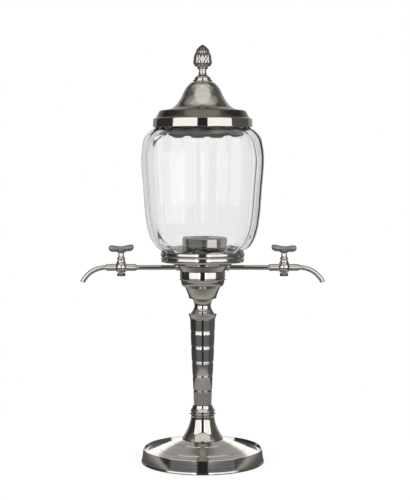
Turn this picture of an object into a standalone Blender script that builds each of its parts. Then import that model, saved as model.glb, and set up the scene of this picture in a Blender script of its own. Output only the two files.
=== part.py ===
"""Two-spout absinthe fountain.

A turned metal stand clamped by a tie rod, a fluted glass jar held by a round nut, a lift-off lid
with an artichoke finial, and a plug-cock tap on each side. Metres, +Z up, origin on the table
under the middle of the stem.
"""

import math

import bmesh
import bpy

MM = 0.001

# Fits
SEAT_GAP = 0.3 * MM
BORE_GAP = 0.4 * MM
CUT_OVERRUN = 1.0 * MM
WELD_DISTANCE = 0.01 * MM

# Base, a spun dish
BASE_RADIUS = 78.6 * MM
BASE_BAND_LEAN = 3.1 * MM
BASE_RIM_HEIGHT = 17.4 * MM
BASE_RIM_WIDTH = 2.1 * MM
BASE_RIM_ROUND = 0.6 * MM
BASE_BEAD_HEIGHT = 2.2 * MM
BASE_BEAD_PROUD = 0.9 * MM
BASE_FOOT_WIDTH = 2.4 * MM
BASE_DISH_DEPTH = 4.6 * MM
BASE_HEIGHT = 29.7 * MM
BASE_WALL = 2.0 * MM
BASE_RIDGE_PROUD = 0.5 * MM
BASE_RIDGE_WIDTH = 1.2 * MM
BASE_RIDGE_SHARES = (0.215, 0.595)
BASE_SLOPE_SHARES = (0.4, 0.82)
BASE_HOLLOW_SHARE = 0.66

# Tie rod, its washer and nuts
ROD_RADIUS = 4.0 * MM
ROD_PAST_NUT = 2.5 * MM
ROD_CHAMFER = 0.6 * MM
NUT_ACROSS_FLATS = 13.0 * MM
NUT_HEIGHT = 6.5 * MM
WASHER_RADIUS = 12.0 * MM
WASHER_THICKNESS = 2.0 * MM

# Foot of the stem
TRUMPET_FOOT_RADIUS = 26.5 * MM
TRUMPET_THROAT_RADIUS = 15.1 * MM
TRUMPET_HEIGHT = 30.1 * MM
TRUMPET_EDGE = 0.8 * MM
TRUMPET_WALL = 2.4 * MM
TRUMPET_CROWN = 5.0 * MM
FOOT_RING_RADIUS = 15.6 * MM
FOOT_RING_EDGE_RADIUS = 17.5 * MM
FOOT_RING_EDGE = 1.2 * MM
FOOT_RING_HEIGHT = 4.5 * MM
SKIRT_FOOT_RADIUS = 16.0 * MM
SKIRT_TOP_RADIUS = 12.5 * MM
SKIRT_HEIGHT = 7.9 * MM
SKIRT_EDGE = 0.5 * MM

# Column with its turned bands
COLUMN_FOOT_RADIUS = 11.4 * MM
COLUMN_TOP_RADIUS = 16.2 * MM
COLUMN_HEIGHT = 110.2 * MM
COLUMN_BAND_SHARES = (0.845, 0.67, 0.49, 0.33, 0.153)
BAND_HEIGHT = 5.2 * MM
BAND_PROUD = 0.5 * MM
BAND_GROOVE = 0.5 * MM
BAND_FILLET_SHARE = 0.2
BAND_BEAD_SHARE = 0.42

# Top of the stem
CAPITAL_FOOT_RADIUS = 16.4 * MM
CAPITAL_RADIUS = 18.3 * MM
CAPITAL_HEIGHT = 7.3 * MM
NECK_FOOT_RADIUS = 15.6 * MM
NECK_THROAT_RADIUS = 10.7 * MM
NECK_TOP_RADIUS = 13.7 * MM
NECK_HEIGHT = 18.1 * MM
NECK_THROAT_SHARE = 0.52

# Bowl
BOWL_FOOT_RADIUS = 17.4 * MM
BOWL_WAIST_RADIUS = 22.0 * MM
BOWL_SHOULDER_RADIUS = 27.3 * MM
BOWL_MOUTH_RADIUS = 28.2 * MM
BOWL_FLANGE_RADIUS = 31.3 * MM
BOWL_HEIGHT = 26.0 * MM
BOWL_WAIST_HEIGHT = 11.6 * MM
BOWL_SHOULDER_HEIGHT = 16.0 * MM
BOWL_FLANGE_THICKNESS = 1.2 * MM
BOWL_WALL = 2.8 * MM
BOWL_FLOOR = 6.0 * MM

# Hub drum
HUB_RADIUS = 29.3 * MM
HUB_HEIGHT = 8.3 * MM
HUB_SPIGOT_DEPTH = 5.0 * MM
HUB_WALL = 3.6 * MM

# Manifold
MANIFOLD_FOOT_RADIUS = 29.0 * MM
MANIFOLD_PLATE_RADIUS = 37.3 * MM
MANIFOLD_HEIGHT = 9.2 * MM
MANIFOLD_PLATE_EDGE = 0.9 * MM
MANIFOLD_SPIGOT_DEPTH = 5.5 * MM
MANIFOLD_SEAT_RADIUS = 19.7 * MM
MANIFOLD_SUMP_DEPTH = 1.5 * MM
BOSS_RADIUS = 4.1 * MM
BOSS_REACH = 33.6 * MM
TAP_AXIS_LIFT = 4.3 * MM
WATER_BORE_RADIUS = 2.0 * MM

# Outlet stem through the jar's floor
STEM_RADIUS = 12.0 * MM
STEM_BORE_RADIUS = 5.0 * MM
STEM_SEAT_LIFT = 0.6 * MM
STEM_BELOW_NUT_TOP = 1.0 * MM

# Collar
COLLAR_HEIGHT = 14.9 * MM
COLLAR_LIP = 1.2 * MM
COLLAR_BAND_LEAN = 1.0 * MM
COLLAR_BEAD_SWELL = 0.6 * MM
COLLAR_UNDERSIDE_RISE = 2.2 * MM
COLLAR_FLOOR = 4.3 * MM
COLLAR_CLEARANCE = 0.7 * MM

# Rubber rings
GASKET_THICKNESS = 2.0 * MM
GASKET_INSET = 1.2 * MM

# Jar
JAR_RADIUS = 78.4 * MM
JAR_FOOT_RADIUS = 46.0 * MM
JAR_NECK_RADIUS = 59.6 * MM
JAR_HEIGHT = 172.8 * MM
JAR_LIP_HEIGHT = 8.4 * MM
JAR_BELLY_SHARE = 0.714
JAR_WALL = 3.0 * MM
JAR_FLOOR = 5.0 * MM
JAR_RIM_ROUND = 0.8 * MM
JAR_LOWER_SHARES = (
    (1.0, 1.0), (0.925, 0.72), (0.846, 0.448), (0.722, 0.263), (0.509, 0.139), (0.16, 0.062), (0.0, 0.0),
)
JAR_UPPER_SHARES = (
    (0.0, 1.0), (0.11, 0.982), (0.40, 0.905), (0.72, 0.745), (0.9, 0.52),
)
FLUTES = 16
FLUTE_TURN_DEGREES = 5.6
FLUTE_DEPTH = 1.9 * MM
FLUTE_RUN_IN = 20.0 * MM
FLUTE_RUN_OUT = 5.0 * MM

# Round nut and flange that clamp the glass
CLAMP_FLANGE_RADIUS = 39.5 * MM
CLAMP_FLANGE_THICKNESS = 3.0 * MM
CLAMP_NUT_RADIUS = 28.0 * MM
CLAMP_NUT_HEIGHT = 15.7 * MM
CLAMP_NUT_ROUND = 1.6 * MM

# Lid
LID_CLEARANCE = 2.0 * MM
LID_WALL = 1.5 * MM
LID_ABOVE_SHOULDER = 0.5 * MM
LID_BAND_HEIGHT = 11.0 * MM
LID_STEP_FOOT_INSET = 4.9 * MM
LID_STEP_TOP_INSET = 7.8 * MM
LID_STEP_FOOT_HEIGHT = 13.8 * MM
LID_STEP_TOP_HEIGHT = 20.3 * MM
LID_STEP_ROUND = 1.4 * MM
LID_BELL_FOOT_RADIUS = 37.0 * MM
LID_BELL_FOOT_HEIGHT = 25.0 * MM
LID_TOP_RADIUS = 13.0 * MM
LID_HEIGHT = 57.1 * MM
LID_BELL_SHARES = (
    (0.0, 1.0), (0.108, 0.955), (0.3125, 0.789), (0.4375, 0.632), (0.5875, 0.393), (0.8, 0.16), (1.0, 0.0),
)

# Ring inside the lid
LINER_SHELF_THICKNESS = 1.2 * MM
LINER_SKIRT_DEPTH = 16.5 * MM
LINER_CLEARANCE = 2.2 * MM
LINER_WALL = 1.2 * MM
LINER_FIT = 0.3 * MM

# Finial
FINIAL_FOOT_RADIUS = 12.6 * MM
FINIAL_FOOT_EDGE = 2.6 * MM
FINIAL_THROAT_RADIUS = 4.9 * MM
FINIAL_BASE_HEIGHT = 13.0 * MM
FINIAL_RING_RADIUS = 7.2 * MM
FINIAL_RING_HEIGHT = 2.4 * MM
FINIAL_STALK_HEIGHT = 2.4 * MM
BUD_RADIUS = 11.3 * MM
BUD_HEIGHT = 28.3 * MM
BUD_LEAVES = 8
BUD_ROW_SHARES = (0.04, 0.23, 0.41, 0.58, 0.74, 0.89)
BUD_SHARES = (
    (0.0, 1.0), (0.17, 0.965), (0.43, 0.88), (0.6, 0.79), (0.82, 0.61), (0.95, 0.43), (1.0, 0.25),
    (1.0, 0.165), (0.79, 0.03), (0.58, 0.0),
)
LEAF_RELIEF = 0.9 * MM
STUD_RADIUS = 2.0 * MM
STUD_IN_BUD = 12.0 * MM
STUD_PAST_NUT = 1.5 * MM
STUD_NUT_ACROSS_FLATS = 7.0 * MM
STUD_NUT_HEIGHT = 3.2 * MM
STUD_WASHER_RADIUS = 6.0 * MM
STUD_WASHER_THICKNESS = 1.0 * MM

# Feed tubes
TAP_REACH = 103.4 * MM
TUBE_RADIUS = 3.1 * MM
SOCKET_DEPTH = 5.6 * MM

# Tap body
BALL_RADIUS = 8.0 * MM
BALL_BOTTOM_DEPTH = 6.5 * MM
BELL_RADIUS = 6.9 * MM
BELL_FOOT_HEIGHT = 4.6 * MM
BELL_TOP_RADIUS = 5.2 * MM
BELL_TOP_HEIGHT = 9.4 * MM
SLEEVE_RADIUS = 4.45 * MM
SLEEVE_REACH = 19.5 * MM
SLEEVE_CHAMFER = 0.8 * MM

# Tap key
PLUG_TOP_RADIUS = 3.9 * MM
PLUG_BOTTOM_RADIUS = 3.2 * MM
KEY_FLANGE_RADIUS = 5.5 * MM
KEY_FLANGE_HEIGHT = 3.2 * MM
KEY_FLANGE_SWELL = 0.8 * MM
KEY_NECK_RADIUS = 3.9 * MM
KEY_NECK_HEIGHT = 5.4 * MM
KEY_SPIGOT_RADIUS = 2.4 * MM
KEY_SPIGOT_HEIGHT = 3.0 * MM
KEY_TAIL_RADIUS = 1.9 * MM
TAP_WASHER_RADIUS = 5.2 * MM
TAP_WASHER_THICKNESS = 0.8 * MM
TAP_NUT_ACROSS_FLATS = 9.2 * MM
TAP_NUT_HEIGHT = 3.0 * MM

# Tap handle
HANDLE_LENGTH = 32.0 * MM
HANDLE_LOBE_RADIUS = 4.3 * MM
HANDLE_SMILE = 1.6 * MM
HANDLE_TILT_DEGREES = 2.4
HANDLE_FLATTEN_SHARE = 0.82
HANDLE_SHARES = (
    (-1.0, 0.3), (-0.93, 0.7), (-0.7, 1.0), (-0.35, 0.8), (0.0, 0.66),
    (0.35, 0.8), (0.7, 1.0), (0.93, 0.7), (1.0, 0.3),
)
HANDLE_BOSS_RADIUS = 4.4 * MM
HANDLE_BOSS_FLARE = 1.0 * MM
HANDLE_BOSS_HEIGHT = 2.2 * MM

# Spout
SPOUT_RADIUS = 3.15 * MM
SPOUT_BORE_RADIUS = 2.3 * MM
SPOUT_BEND_RADIUS = 33.0 * MM
SPOUT_BEND_DEGREES = 65.0
SPOUT_CUT_DEGREES = 13.0
SPOUT_BEND_STEPS = 6

# Facets round each kind of piece
WIDE_SIDES = 32
BROAD_SIDES = 20
STEM_SIDES = 16
SMALL_SIDES = 12
BORE_SIDES = 8
FLUTE_STEPS = 3
TUBE_RESOLUTION = 2
BALL_STEPS = 4
SMOOTH_ANGLE_DEGREES = 32.0

# Heights of the seats, stacked from the table up
ROD_BORE_RADIUS = ROD_RADIUS + BORE_GAP
TRUMPET_Z = BASE_HEIGHT + SEAT_GAP
FOOT_RING_Z = TRUMPET_Z + TRUMPET_HEIGHT + SEAT_GAP
SKIRT_Z = FOOT_RING_Z + FOOT_RING_HEIGHT + SEAT_GAP
COLUMN_Z = SKIRT_Z + SKIRT_HEIGHT + SEAT_GAP
CAPITAL_Z = COLUMN_Z + COLUMN_HEIGHT + SEAT_GAP
NECK_Z = CAPITAL_Z + CAPITAL_HEIGHT + SEAT_GAP
BOWL_Z = NECK_Z + NECK_HEIGHT + SEAT_GAP
HUB_Z = BOWL_Z + BOWL_HEIGHT + SEAT_GAP
MANIFOLD_Z = HUB_Z + HUB_HEIGHT + SEAT_GAP
COLLAR_Z = MANIFOLD_Z + MANIFOLD_HEIGHT + SEAT_GAP
LOWER_GASKET_Z = COLLAR_Z + COLLAR_FLOOR + SEAT_GAP
JAR_Z = LOWER_GASKET_Z + GASKET_THICKNESS + SEAT_GAP
JAR_BELLY_HEIGHT = JAR_HEIGHT * JAR_BELLY_SHARE
JAR_SHOULDER_HEIGHT = JAR_HEIGHT - JAR_LIP_HEIGHT
UPPER_GASKET_Z = JAR_Z + JAR_FLOOR + SEAT_GAP
CLAMP_FLANGE_Z = UPPER_GASKET_Z + GASKET_THICKNESS + SEAT_GAP
CLAMP_NUT_Z = CLAMP_FLANGE_Z + CLAMP_FLANGE_THICKNESS + SEAT_GAP
LINER_Z = JAR_Z + JAR_HEIGHT + SEAT_GAP
LID_Z = JAR_Z + JAR_SHOULDER_HEIGHT + LID_ABOVE_SHOULDER
FINIAL_BASE_Z = LID_Z + LID_HEIGHT + SEAT_GAP
FINIAL_BUD_Z = FINIAL_BASE_Z + FINIAL_BASE_HEIGHT + SEAT_GAP

# Axis of the taps, in the middle of the manifold's bosses
TAP_AXIS_Z = MANIFOLD_Z + TAP_AXIS_LIFT

WORLD = bpy.context.scene.collection


def clear_scene():
    """Remove whatever the scene holds."""
    for obj in list(bpy.data.objects):
        bpy.data.objects.remove(obj, do_unlink=True)


def new_collection(name):
    collection = bpy.data.collections.new(name)
    WORLD.children.link(collection)
    return collection


def principled(name, colour, metallic, roughness, transmission=0.0):
    """A material with one plain Principled shader."""
    material = bpy.data.materials.new(name)
    material.use_nodes = True
    shader = material.node_tree.nodes["Principled BSDF"]
    shader.inputs["Base Color"].default_value = (*colour, 1.0)
    shader.inputs["Metallic"].default_value = metallic
    shader.inputs["Roughness"].default_value = roughness
    shader.inputs["Transmission Weight"].default_value = transmission
    material.diffuse_color = (*colour, 1.0)
    return material


def nickel(name):
    """Polished nickel plate, slightly warm."""
    return principled(name + "_nickel", (0.56, 0.54, 0.51), 1.0, 0.16)


def clear_glass(name):
    return principled(name + "_glass", (0.93, 0.95, 0.95), 0.0, 0.03, transmission=1.0)


def rubber(name):
    return principled(name + "_rubber", (0.05, 0.048, 0.045), 0.0, 0.7)


def lerp(start, end, share):
    return start + (end - start) * share


def flare(narrow, wide, steps, power=2.0):
    """Outline points from the narrow to the wide end of a trumpet curve, upright at the narrow end."""
    points = []
    for step in range(steps + 1):
        share = step / steps
        points.append((lerp(narrow[0], wide[0], share**power), lerp(narrow[1], wide[1], share)))
    return points


def bead(top, bottom, swell, steps):
    """Outline points down a bead that stands out by swell between its two ends."""
    points = []
    for step in range(steps + 1):
        share = step / steps
        out = swell * math.sin(math.pi * share)
        points.append((lerp(top[0], bottom[0], share) + out, lerp(top[1], bottom[1], share)))
    return points


def quarter(start, end, steps):
    """Outline points of a quarter ellipse that leaves its start level and meets its end upright."""
    points = []
    for step in range(steps + 1):
        turn = math.pi / 2 * step / steps
        points.append((lerp(start[0], end[0], math.sin(turn)), lerp(end[1], start[1], math.cos(turn))))
    return points


def spline(points, steps):
    """Points on a smooth curve through a few outline points."""
    padded = [points[0], *points, points[-1]]
    curve = []
    for before, start, end, after in zip(padded, padded[1:], padded[2:], padded[3:]):
        for step in range(steps):
            share = step / steps
            weights = (
                (-(share**3) + 2 * share**2 - share) / 2,
                (3 * share**3 - 5 * share**2 + 2) / 2,
                (-3 * share**3 + 4 * share**2 + share) / 2,
                (share**3 - share**2) / 2,
            )
            near = (before, start, end, after)
            curve.append(tuple(sum(w * p[i] for w, p in zip(weights, near)) for i in range(2)))
    return [*curve, points[-1]]


def scaled(shares, low, high):
    """Outline points from pairs of shares, between a low and a high corner."""
    return [(lerp(low[0], high[0], across), lerp(low[1], high[1], up)) for across, up in shares]


def inset(outline, wall):
    """The outline moved into the solid by the wall, square to each of its runs."""
    normals = []
    for start, end in zip(outline, outline[1:]):
        across, up = end[0] - start[0], end[1] - start[1]
        length = math.hypot(across, up)
        normals.append((up / length, -across / length))
    moved = []
    for index, (radius, height) in enumerate(outline):
        first = normals[max(index - 1, 0)]
        second = normals[min(index, len(normals) - 1)]
        middle = (first[0] + second[0], first[1] + second[1])
        reach = wall * 2 / (middle[0] ** 2 + middle[1] ** 2)
        moved.append((radius + middle[0] * reach, height + middle[1] * reach))
    return moved


def turned(name, outline, sides):
    """A piece turned about Z from an outline that runs down its outer side.

    An outline that starts on the axis is solid there. Any other is a ring round its bore.
    """
    edges = [(index, index + 1) for index in range(len(outline) - 1)]
    if outline[0][0] > 0:
        edges.append((len(outline) - 1, 0))
    mesh = bpy.data.meshes.new(name)
    mesh.from_pydata([(radius, 0.0, height) for radius, height in outline], edges, [])
    obj = bpy.data.objects.new(name, mesh)
    screw = obj.modifiers.new("Turn", "SCREW")
    screw.axis = "Z"
    screw.steps = sides
    screw.render_steps = sides
    screw.use_merge_vertices = True
    screw.merge_threshold = WELD_DISTANCE
    return obj


def disc(name, radius, height, sides, chamfer=0.0):
    """A solid turned disc or rod that stands on its origin, with an optional chamfer at both ends."""
    rim = [(radius, height), (radius, 0.0)]
    if chamfer:
        rim = [
            (radius - chamfer, height),
            (radius, height - chamfer),
            (radius, chamfer),
            (radius - chamfer, 0.0),
        ]
    return turned(name, [(0.0, height), *rim, (0.0, 0.0)], sides)


def ring(name, radius, bore, height, sides):
    """A flat turned ring that stands on its origin."""
    return turned(name, [(radius, height), (radius, 0.0), (bore, 0.0), (bore, height)], sides)


def box(name, width, depth, height):
    """A box centred on its origin."""
    mesh = bpy.data.meshes.new(name)
    shape = bmesh.new()
    bmesh.ops.create_cube(shape, size=1.0)
    bmesh.ops.scale(shape, vec=(width, depth, height), verts=shape.verts)
    shape.to_mesh(mesh)
    shape.free()
    return bpy.data.objects.new(name, mesh)


def hexagon(name, across_flats, height):
    """A hexagonal prism that stands on its origin."""
    corner = across_flats / math.sqrt(3)
    mesh = bpy.data.meshes.new(name)
    shape = bmesh.new()
    bmesh.ops.create_cone(
        shape, cap_ends=True, segments=6, radius1=corner, radius2=corner, depth=height
    )
    bmesh.ops.translate(shape, vec=(0.0, 0.0, height / 2), verts=shape.verts)
    shape.to_mesh(mesh)
    shape.free()
    return bpy.data.objects.new(name, mesh)


def tube(name, points, radii):
    """A round bar along a list of points, with its own radius at each, as a welded mesh."""
    curve = bpy.data.curves.new(name, "CURVE")
    curve.dimensions = "3D"
    curve.bevel_depth = 1.0
    curve.bevel_resolution = TUBE_RESOLUTION
    curve.use_fill_caps = True
    line = curve.splines.new("POLY")
    line.points.add(len(points) - 1)
    for point, place, radius in zip(line.points, points, radii):
        point.co = (*place, 1.0)
        point.radius = radius
    guide = bpy.data.objects.new(name + "_path", curve)
    WORLD.objects.link(guide)
    mesh = evaluated_mesh(guide)
    bpy.data.objects.remove(guide)
    shape = bmesh.new()
    shape.from_mesh(mesh)
    bmesh.ops.remove_doubles(shape, verts=shape.verts, dist=WELD_DISTANCE)
    bmesh.ops.recalc_face_normals(shape, faces=shape.faces)
    shape.to_mesh(mesh)
    shape.free()
    return bpy.data.objects.new(name, mesh)


def evaluated_mesh(obj):
    bpy.context.view_layer.update()
    graph = bpy.context.evaluated_depsgraph_get()
    return bpy.data.meshes.new_from_object(obj.evaluated_get(graph))


def place(obj, location=(0.0, 0.0, 0.0), turn_y=0.0, parent=None):
    obj.location = location
    obj.rotation_euler = (0.0, turn_y, 0.0)
    obj.parent = parent
    return obj


def joined(body, helper, operation):
    """Add a Boolean modifier, and keep its helper in the cutters' collection."""
    if not helper.users_collection:
        CUTTERS.objects.link(helper)
        helper.hide_render = True
        helper.display_type = "WIRE"
    modifier = body.modifiers.new(helper.name, "BOOLEAN")
    modifier.object = helper
    modifier.operation = operation
    return body


def cut(body, helper):
    return joined(body, helper, "DIFFERENCE")


def add(body, helper):
    return joined(body, helper, "UNION")


def finish(obj, look, shape_rule=None):
    """Apply a piece's modifiers, bend its points by a rule, and give it its material."""
    PIECES.objects.link(obj)
    mesh = evaluated_mesh(obj)
    obj.modifiers.clear()
    obj.data = mesh
    if shape_rule:
        for vertex in mesh.vertices:
            vertex.co = shape_rule(vertex.co)
    mesh.name = obj.name
    mesh.materials.clear()
    mesh.materials.append(look(obj.name))
    mesh.shade_smooth()
    mesh.set_sharp_from_angle(angle=math.radians(SMOOTH_ANGLE_DEGREES))
    return obj


def base_outline():
    """The dish's upper side from the stem out to the rim, the band down to the foot, and back."""
    seat = TRUMPET_FOOT_RADIUS + BASE_RIDGE_WIDTH
    rim_radius = BASE_RADIUS - BASE_BAND_LEAN
    dish_radius = rim_radius - BASE_RIM_WIDTH
    dish_z = BASE_RIM_HEIGHT - BASE_DISH_DEPTH
    ridge = BASE_RIDGE_WIDTH / 2

    def slope(share, lift=0.0, shift=0.0):
        rise = (1 - share) ** (1 + BASE_HOLLOW_SHARE * share)
        return (lerp(seat, dish_radius, share) + shift, lerp(dish_z, BASE_HEIGHT, rise) + lift)

    top = [slope(0.0)]
    for share in sorted(BASE_SLOPE_SHARES + BASE_RIDGE_SHARES):
        if share in BASE_RIDGE_SHARES:
            top += [slope(share, BASE_RIDGE_PROUD, -ridge), slope(share, 0.0, ridge)]
        else:
            top.append(slope(share))
    top.append(slope(1.0))
    rim = [
        (dish_radius, BASE_RIM_HEIGHT - BASE_RIM_ROUND),
        (dish_radius + BASE_RIM_ROUND, BASE_RIM_HEIGHT),
        (rim_radius - BASE_RIM_ROUND, BASE_RIM_HEIGHT),
        (rim_radius, BASE_RIM_HEIGHT - BASE_RIM_ROUND),
    ]
    foot = [
        (BASE_RADIUS - BASE_BEAD_PROUD, BASE_BEAD_HEIGHT),
        (BASE_RADIUS, BASE_BEAD_HEIGHT / 2),
        (BASE_RADIUS, 0.0),
        (BASE_RADIUS - BASE_FOOT_WIDTH, 0.0),
    ]
    under = [slope(share, -BASE_WALL) for share in (1.0, 0.7, 0.35, 0.0)]
    bore = [(ROD_BORE_RADIUS, BASE_HEIGHT - BASE_WALL), (ROD_BORE_RADIUS, BASE_HEIGHT)]
    return top + rim + foot + under + bore


def bored(outline, height, bore=ROD_BORE_RADIUS, foot=0.0):
    """The outline of a turned piece with a straight bore from its foot to its top."""
    return [*outline, (bore, foot), (bore, height)]


def trumpet_outline():
    outer = flare((TRUMPET_THROAT_RADIUS, TRUMPET_HEIGHT), (TRUMPET_FOOT_RADIUS, TRUMPET_EDGE), 5)
    inner = flare(
        (TRUMPET_THROAT_RADIUS - TRUMPET_WALL, TRUMPET_HEIGHT - TRUMPET_CROWN),
        (TRUMPET_FOOT_RADIUS - TRUMPET_WALL, 0.0),
        3,
    )
    crown = [(ROD_BORE_RADIUS, TRUMPET_HEIGHT - TRUMPET_CROWN), (ROD_BORE_RADIUS, TRUMPET_HEIGHT)]
    return outer + [(TRUMPET_FOOT_RADIUS, 0.0)] + inner[::-1] + crown


def foot_ring_outline():
    """A short drum with a thin sharp disc round its middle."""
    middle = FOOT_RING_HEIGHT / 2
    edge = FOOT_RING_EDGE / 2
    outer = [
        (FOOT_RING_RADIUS - edge, FOOT_RING_HEIGHT),
        (FOOT_RING_RADIUS, middle + 2 * edge),
        (FOOT_RING_EDGE_RADIUS, middle + edge),
        (FOOT_RING_EDGE_RADIUS, middle - edge),
        (FOOT_RING_RADIUS, middle - 2 * edge),
        (FOOT_RING_RADIUS - edge, 0.0),
    ]
    return bored(outer, FOOT_RING_HEIGHT)


def skirt_outline():
    outer = flare((SKIRT_TOP_RADIUS, SKIRT_HEIGHT), (SKIRT_FOOT_RADIUS, SKIRT_EDGE), 3, 1.5)
    return bored([*outer, (SKIRT_FOOT_RADIUS, 0.0)], SKIRT_HEIGHT)


def column_radius(share):
    """The column's radius at a share of its height: it swells a little faster in the middle."""
    eased = (share + share**2 * (3 - 2 * share)) / 2
    return lerp(COLUMN_FOOT_RADIUS, COLUMN_TOP_RADIUS, eased)


def column_outline():
    """A tapered column whose bands are a fine fillet over a fuller bead, between sharp grooves."""
    outer = [(column_radius(1.0), COLUMN_HEIGHT)]
    for share in COLUMN_BAND_SHARES:
        radius = column_radius(share)
        top = share * COLUMN_HEIGHT + BAND_HEIGHT / 2
        fillet = BAND_HEIGHT * BAND_FILLET_SHARE
        half_bead = BAND_HEIGHT * BAND_BEAD_SHARE / 2
        groove = top - 2 * fillet
        middle = groove - fillet / 2 - half_bead
        outer += [
            (radius, top + fillet / 2),
            (radius - BAND_GROOVE, top),
            (radius + BAND_PROUD / 2, top - fillet),
            (radius - BAND_GROOVE, groove),
            (radius + BAND_PROUD, middle),
            (radius - BAND_GROOVE, middle - half_bead - fillet / 2),
            (radius, middle - half_bead - fillet),
        ]
    outer.append((column_radius(0.0), 0.0))
    return bored(outer, COLUMN_HEIGHT)


def capital_outline():
    edge = (CAPITAL_RADIUS - CAPITAL_FOOT_RADIUS) / 4
    outer = [(CAPITAL_RADIUS - edge, CAPITAL_HEIGHT), (CAPITAL_RADIUS, CAPITAL_HEIGHT - edge)]
    cove = quarter((CAPITAL_FOOT_RADIUS, 0.0), (CAPITAL_RADIUS, CAPITAL_HEIGHT - 2 * edge), 2)
    return bored(outer + cove[::-1], CAPITAL_HEIGHT)


def neck_outline():
    """A spool: two trumpet curves that meet at the throat."""
    throat = (NECK_THROAT_RADIUS, NECK_HEIGHT * NECK_THROAT_SHARE)
    upper = flare(throat, (NECK_TOP_RADIUS, NECK_HEIGHT), 3)
    lower = flare(throat, (NECK_FOOT_RADIUS, 0.0), 4)
    return bored(upper[:0:-1] + lower, NECK_HEIGHT)


def bowl_outline():
    """The cup: flange, drum, rounded shoulder and flared foot outside, a stepped well inside."""
    flange_foot = BOWL_HEIGHT - BOWL_FLANGE_THICKNESS
    outer = [
        (BOWL_FLANGE_RADIUS, BOWL_HEIGHT),
        (BOWL_FLANGE_RADIUS, BOWL_HEIGHT - BOWL_FLANGE_THICKNESS / 2),
        (BOWL_MOUTH_RADIUS, flange_foot),
        (BOWL_SHOULDER_RADIUS, BOWL_SHOULDER_HEIGHT),
    ]
    shoulder = quarter(
        (BOWL_WAIST_RADIUS, BOWL_WAIST_HEIGHT), (BOWL_SHOULDER_RADIUS, BOWL_SHOULDER_HEIGHT), 3
    )
    foot = flare((BOWL_FOOT_RADIUS, 0.0), (BOWL_WAIST_RADIUS, BOWL_WAIST_HEIGHT), 3, 1.4)
    well = BOWL_FOOT_RADIUS - BOWL_WALL
    ledge = BOWL_SHOULDER_HEIGHT - BOWL_WALL / 2
    inner = [
        (ROD_BORE_RADIUS, 0.0),
        (ROD_BORE_RADIUS, BOWL_FLOOR),
        (well, BOWL_FLOOR),
        (well, ledge - BOWL_WALL / 2),
        (BOWL_SHOULDER_RADIUS - BOWL_WALL, BOWL_SHOULDER_HEIGHT + BOWL_WALL / 2),
        (BOWL_SHOULDER_RADIUS - BOWL_WALL, BOWL_HEIGHT),
    ]
    return outer + shoulder[-2:0:-1] + foot[::-1] + inner


def hub_outline():
    spigot = BOWL_SHOULDER_RADIUS - BOWL_WALL - SEAT_GAP
    bore = spigot - HUB_WALL
    return [
        (HUB_RADIUS, HUB_HEIGHT),
        (HUB_RADIUS, 0.0),
        (spigot, 0.0),
        (spigot, -HUB_SPIGOT_DEPTH),
        (bore, -HUB_SPIGOT_DEPTH),
        (bore, HUB_HEIGHT),
    ]


def manifold_outline():
    """Raised seat, plate with a cove under it, and the spigot that enters the hub."""
    spigot = BOWL_SHOULDER_RADIUS - BOWL_WALL - HUB_WALL - 2 * SEAT_GAP
    seat_z = MANIFOLD_HEIGHT + SEAT_GAP + COLLAR_FLOOR
    cove = flare(
        (MANIFOLD_FOOT_RADIUS, 0.0), (MANIFOLD_PLATE_RADIUS, MANIFOLD_HEIGHT - MANIFOLD_PLATE_EDGE), 4
    )
    return [
        (0.0, seat_z),
        (MANIFOLD_SEAT_RADIUS, seat_z),
        (MANIFOLD_SEAT_RADIUS, MANIFOLD_HEIGHT),
        (MANIFOLD_PLATE_RADIUS, MANIFOLD_HEIGHT),
        *cove[::-1],
        (spigot, 0.0),
        (spigot, -MANIFOLD_SPIGOT_DEPTH),
        (0.0, -MANIFOLD_SPIGOT_DEPTH),
    ]


def stem_seat_height():
    """Where the outlet stem stops in the manifold, above the cross bore."""
    return TAP_AXIS_LIFT + WATER_BORE_RADIUS + STEM_SEAT_LIFT


def collar_outline():
    """A dish with two beads round its band, open in the middle for the manifold's seat."""
    mouth = jar_outer_radius(COLLAR_Z + COLLAR_HEIGHT - JAR_Z) + COLLAR_CLEARANCE
    lip = mouth + COLLAR_LIP
    foot = lip - COLLAR_BAND_LEAN
    middle = (lerp(foot, lip, 0.5), lerp(COLLAR_UNDERSIDE_RISE, COLLAR_HEIGHT, 0.5))
    hole = MANIFOLD_SEAT_RADIUS + SEAT_GAP
    upper = bead((lip, COLLAR_HEIGHT), middle, COLLAR_BEAD_SWELL, 3)
    lower = bead(middle, (foot, COLLAR_UNDERSIDE_RISE), COLLAR_BEAD_SWELL, 3)
    return [
        *upper,
        *lower[1:],
        (MANIFOLD_PLATE_RADIUS, 0.0),
        (hole, 0.0),
        (hole, COLLAR_FLOOR),
        (foot - COLLAR_LIP, COLLAR_FLOOR),
        (mouth, COLLAR_HEIGHT),
    ]


def jar_outside():
    """The jar's outer side at the crests of its flutes, from the rim down to the foot."""
    neck = [
        (JAR_NECK_RADIUS - JAR_RIM_ROUND, JAR_HEIGHT),
        (JAR_NECK_RADIUS, JAR_HEIGHT - JAR_RIM_ROUND),
    ]
    upper = scaled(
        JAR_UPPER_SHARES, (JAR_NECK_RADIUS, JAR_BELLY_HEIGHT), (JAR_RADIUS, JAR_SHOULDER_HEIGHT)
    )
    lower = scaled(JAR_LOWER_SHARES, (JAR_FOOT_RADIUS, 0.0), (JAR_RADIUS, JAR_BELLY_HEIGHT))
    return neck + upper + lower


def jar_outer_radius(height):
    """The jar's outer radius at a height over its foot."""
    outline = jar_outside()
    for (high_radius, high), (low_radius, low) in zip(outline, outline[1:]):
        if low <= height <= high:
            return lerp(low_radius, high_radius, (height - low) / (high - low))
    return JAR_FOOT_RADIUS


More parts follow.
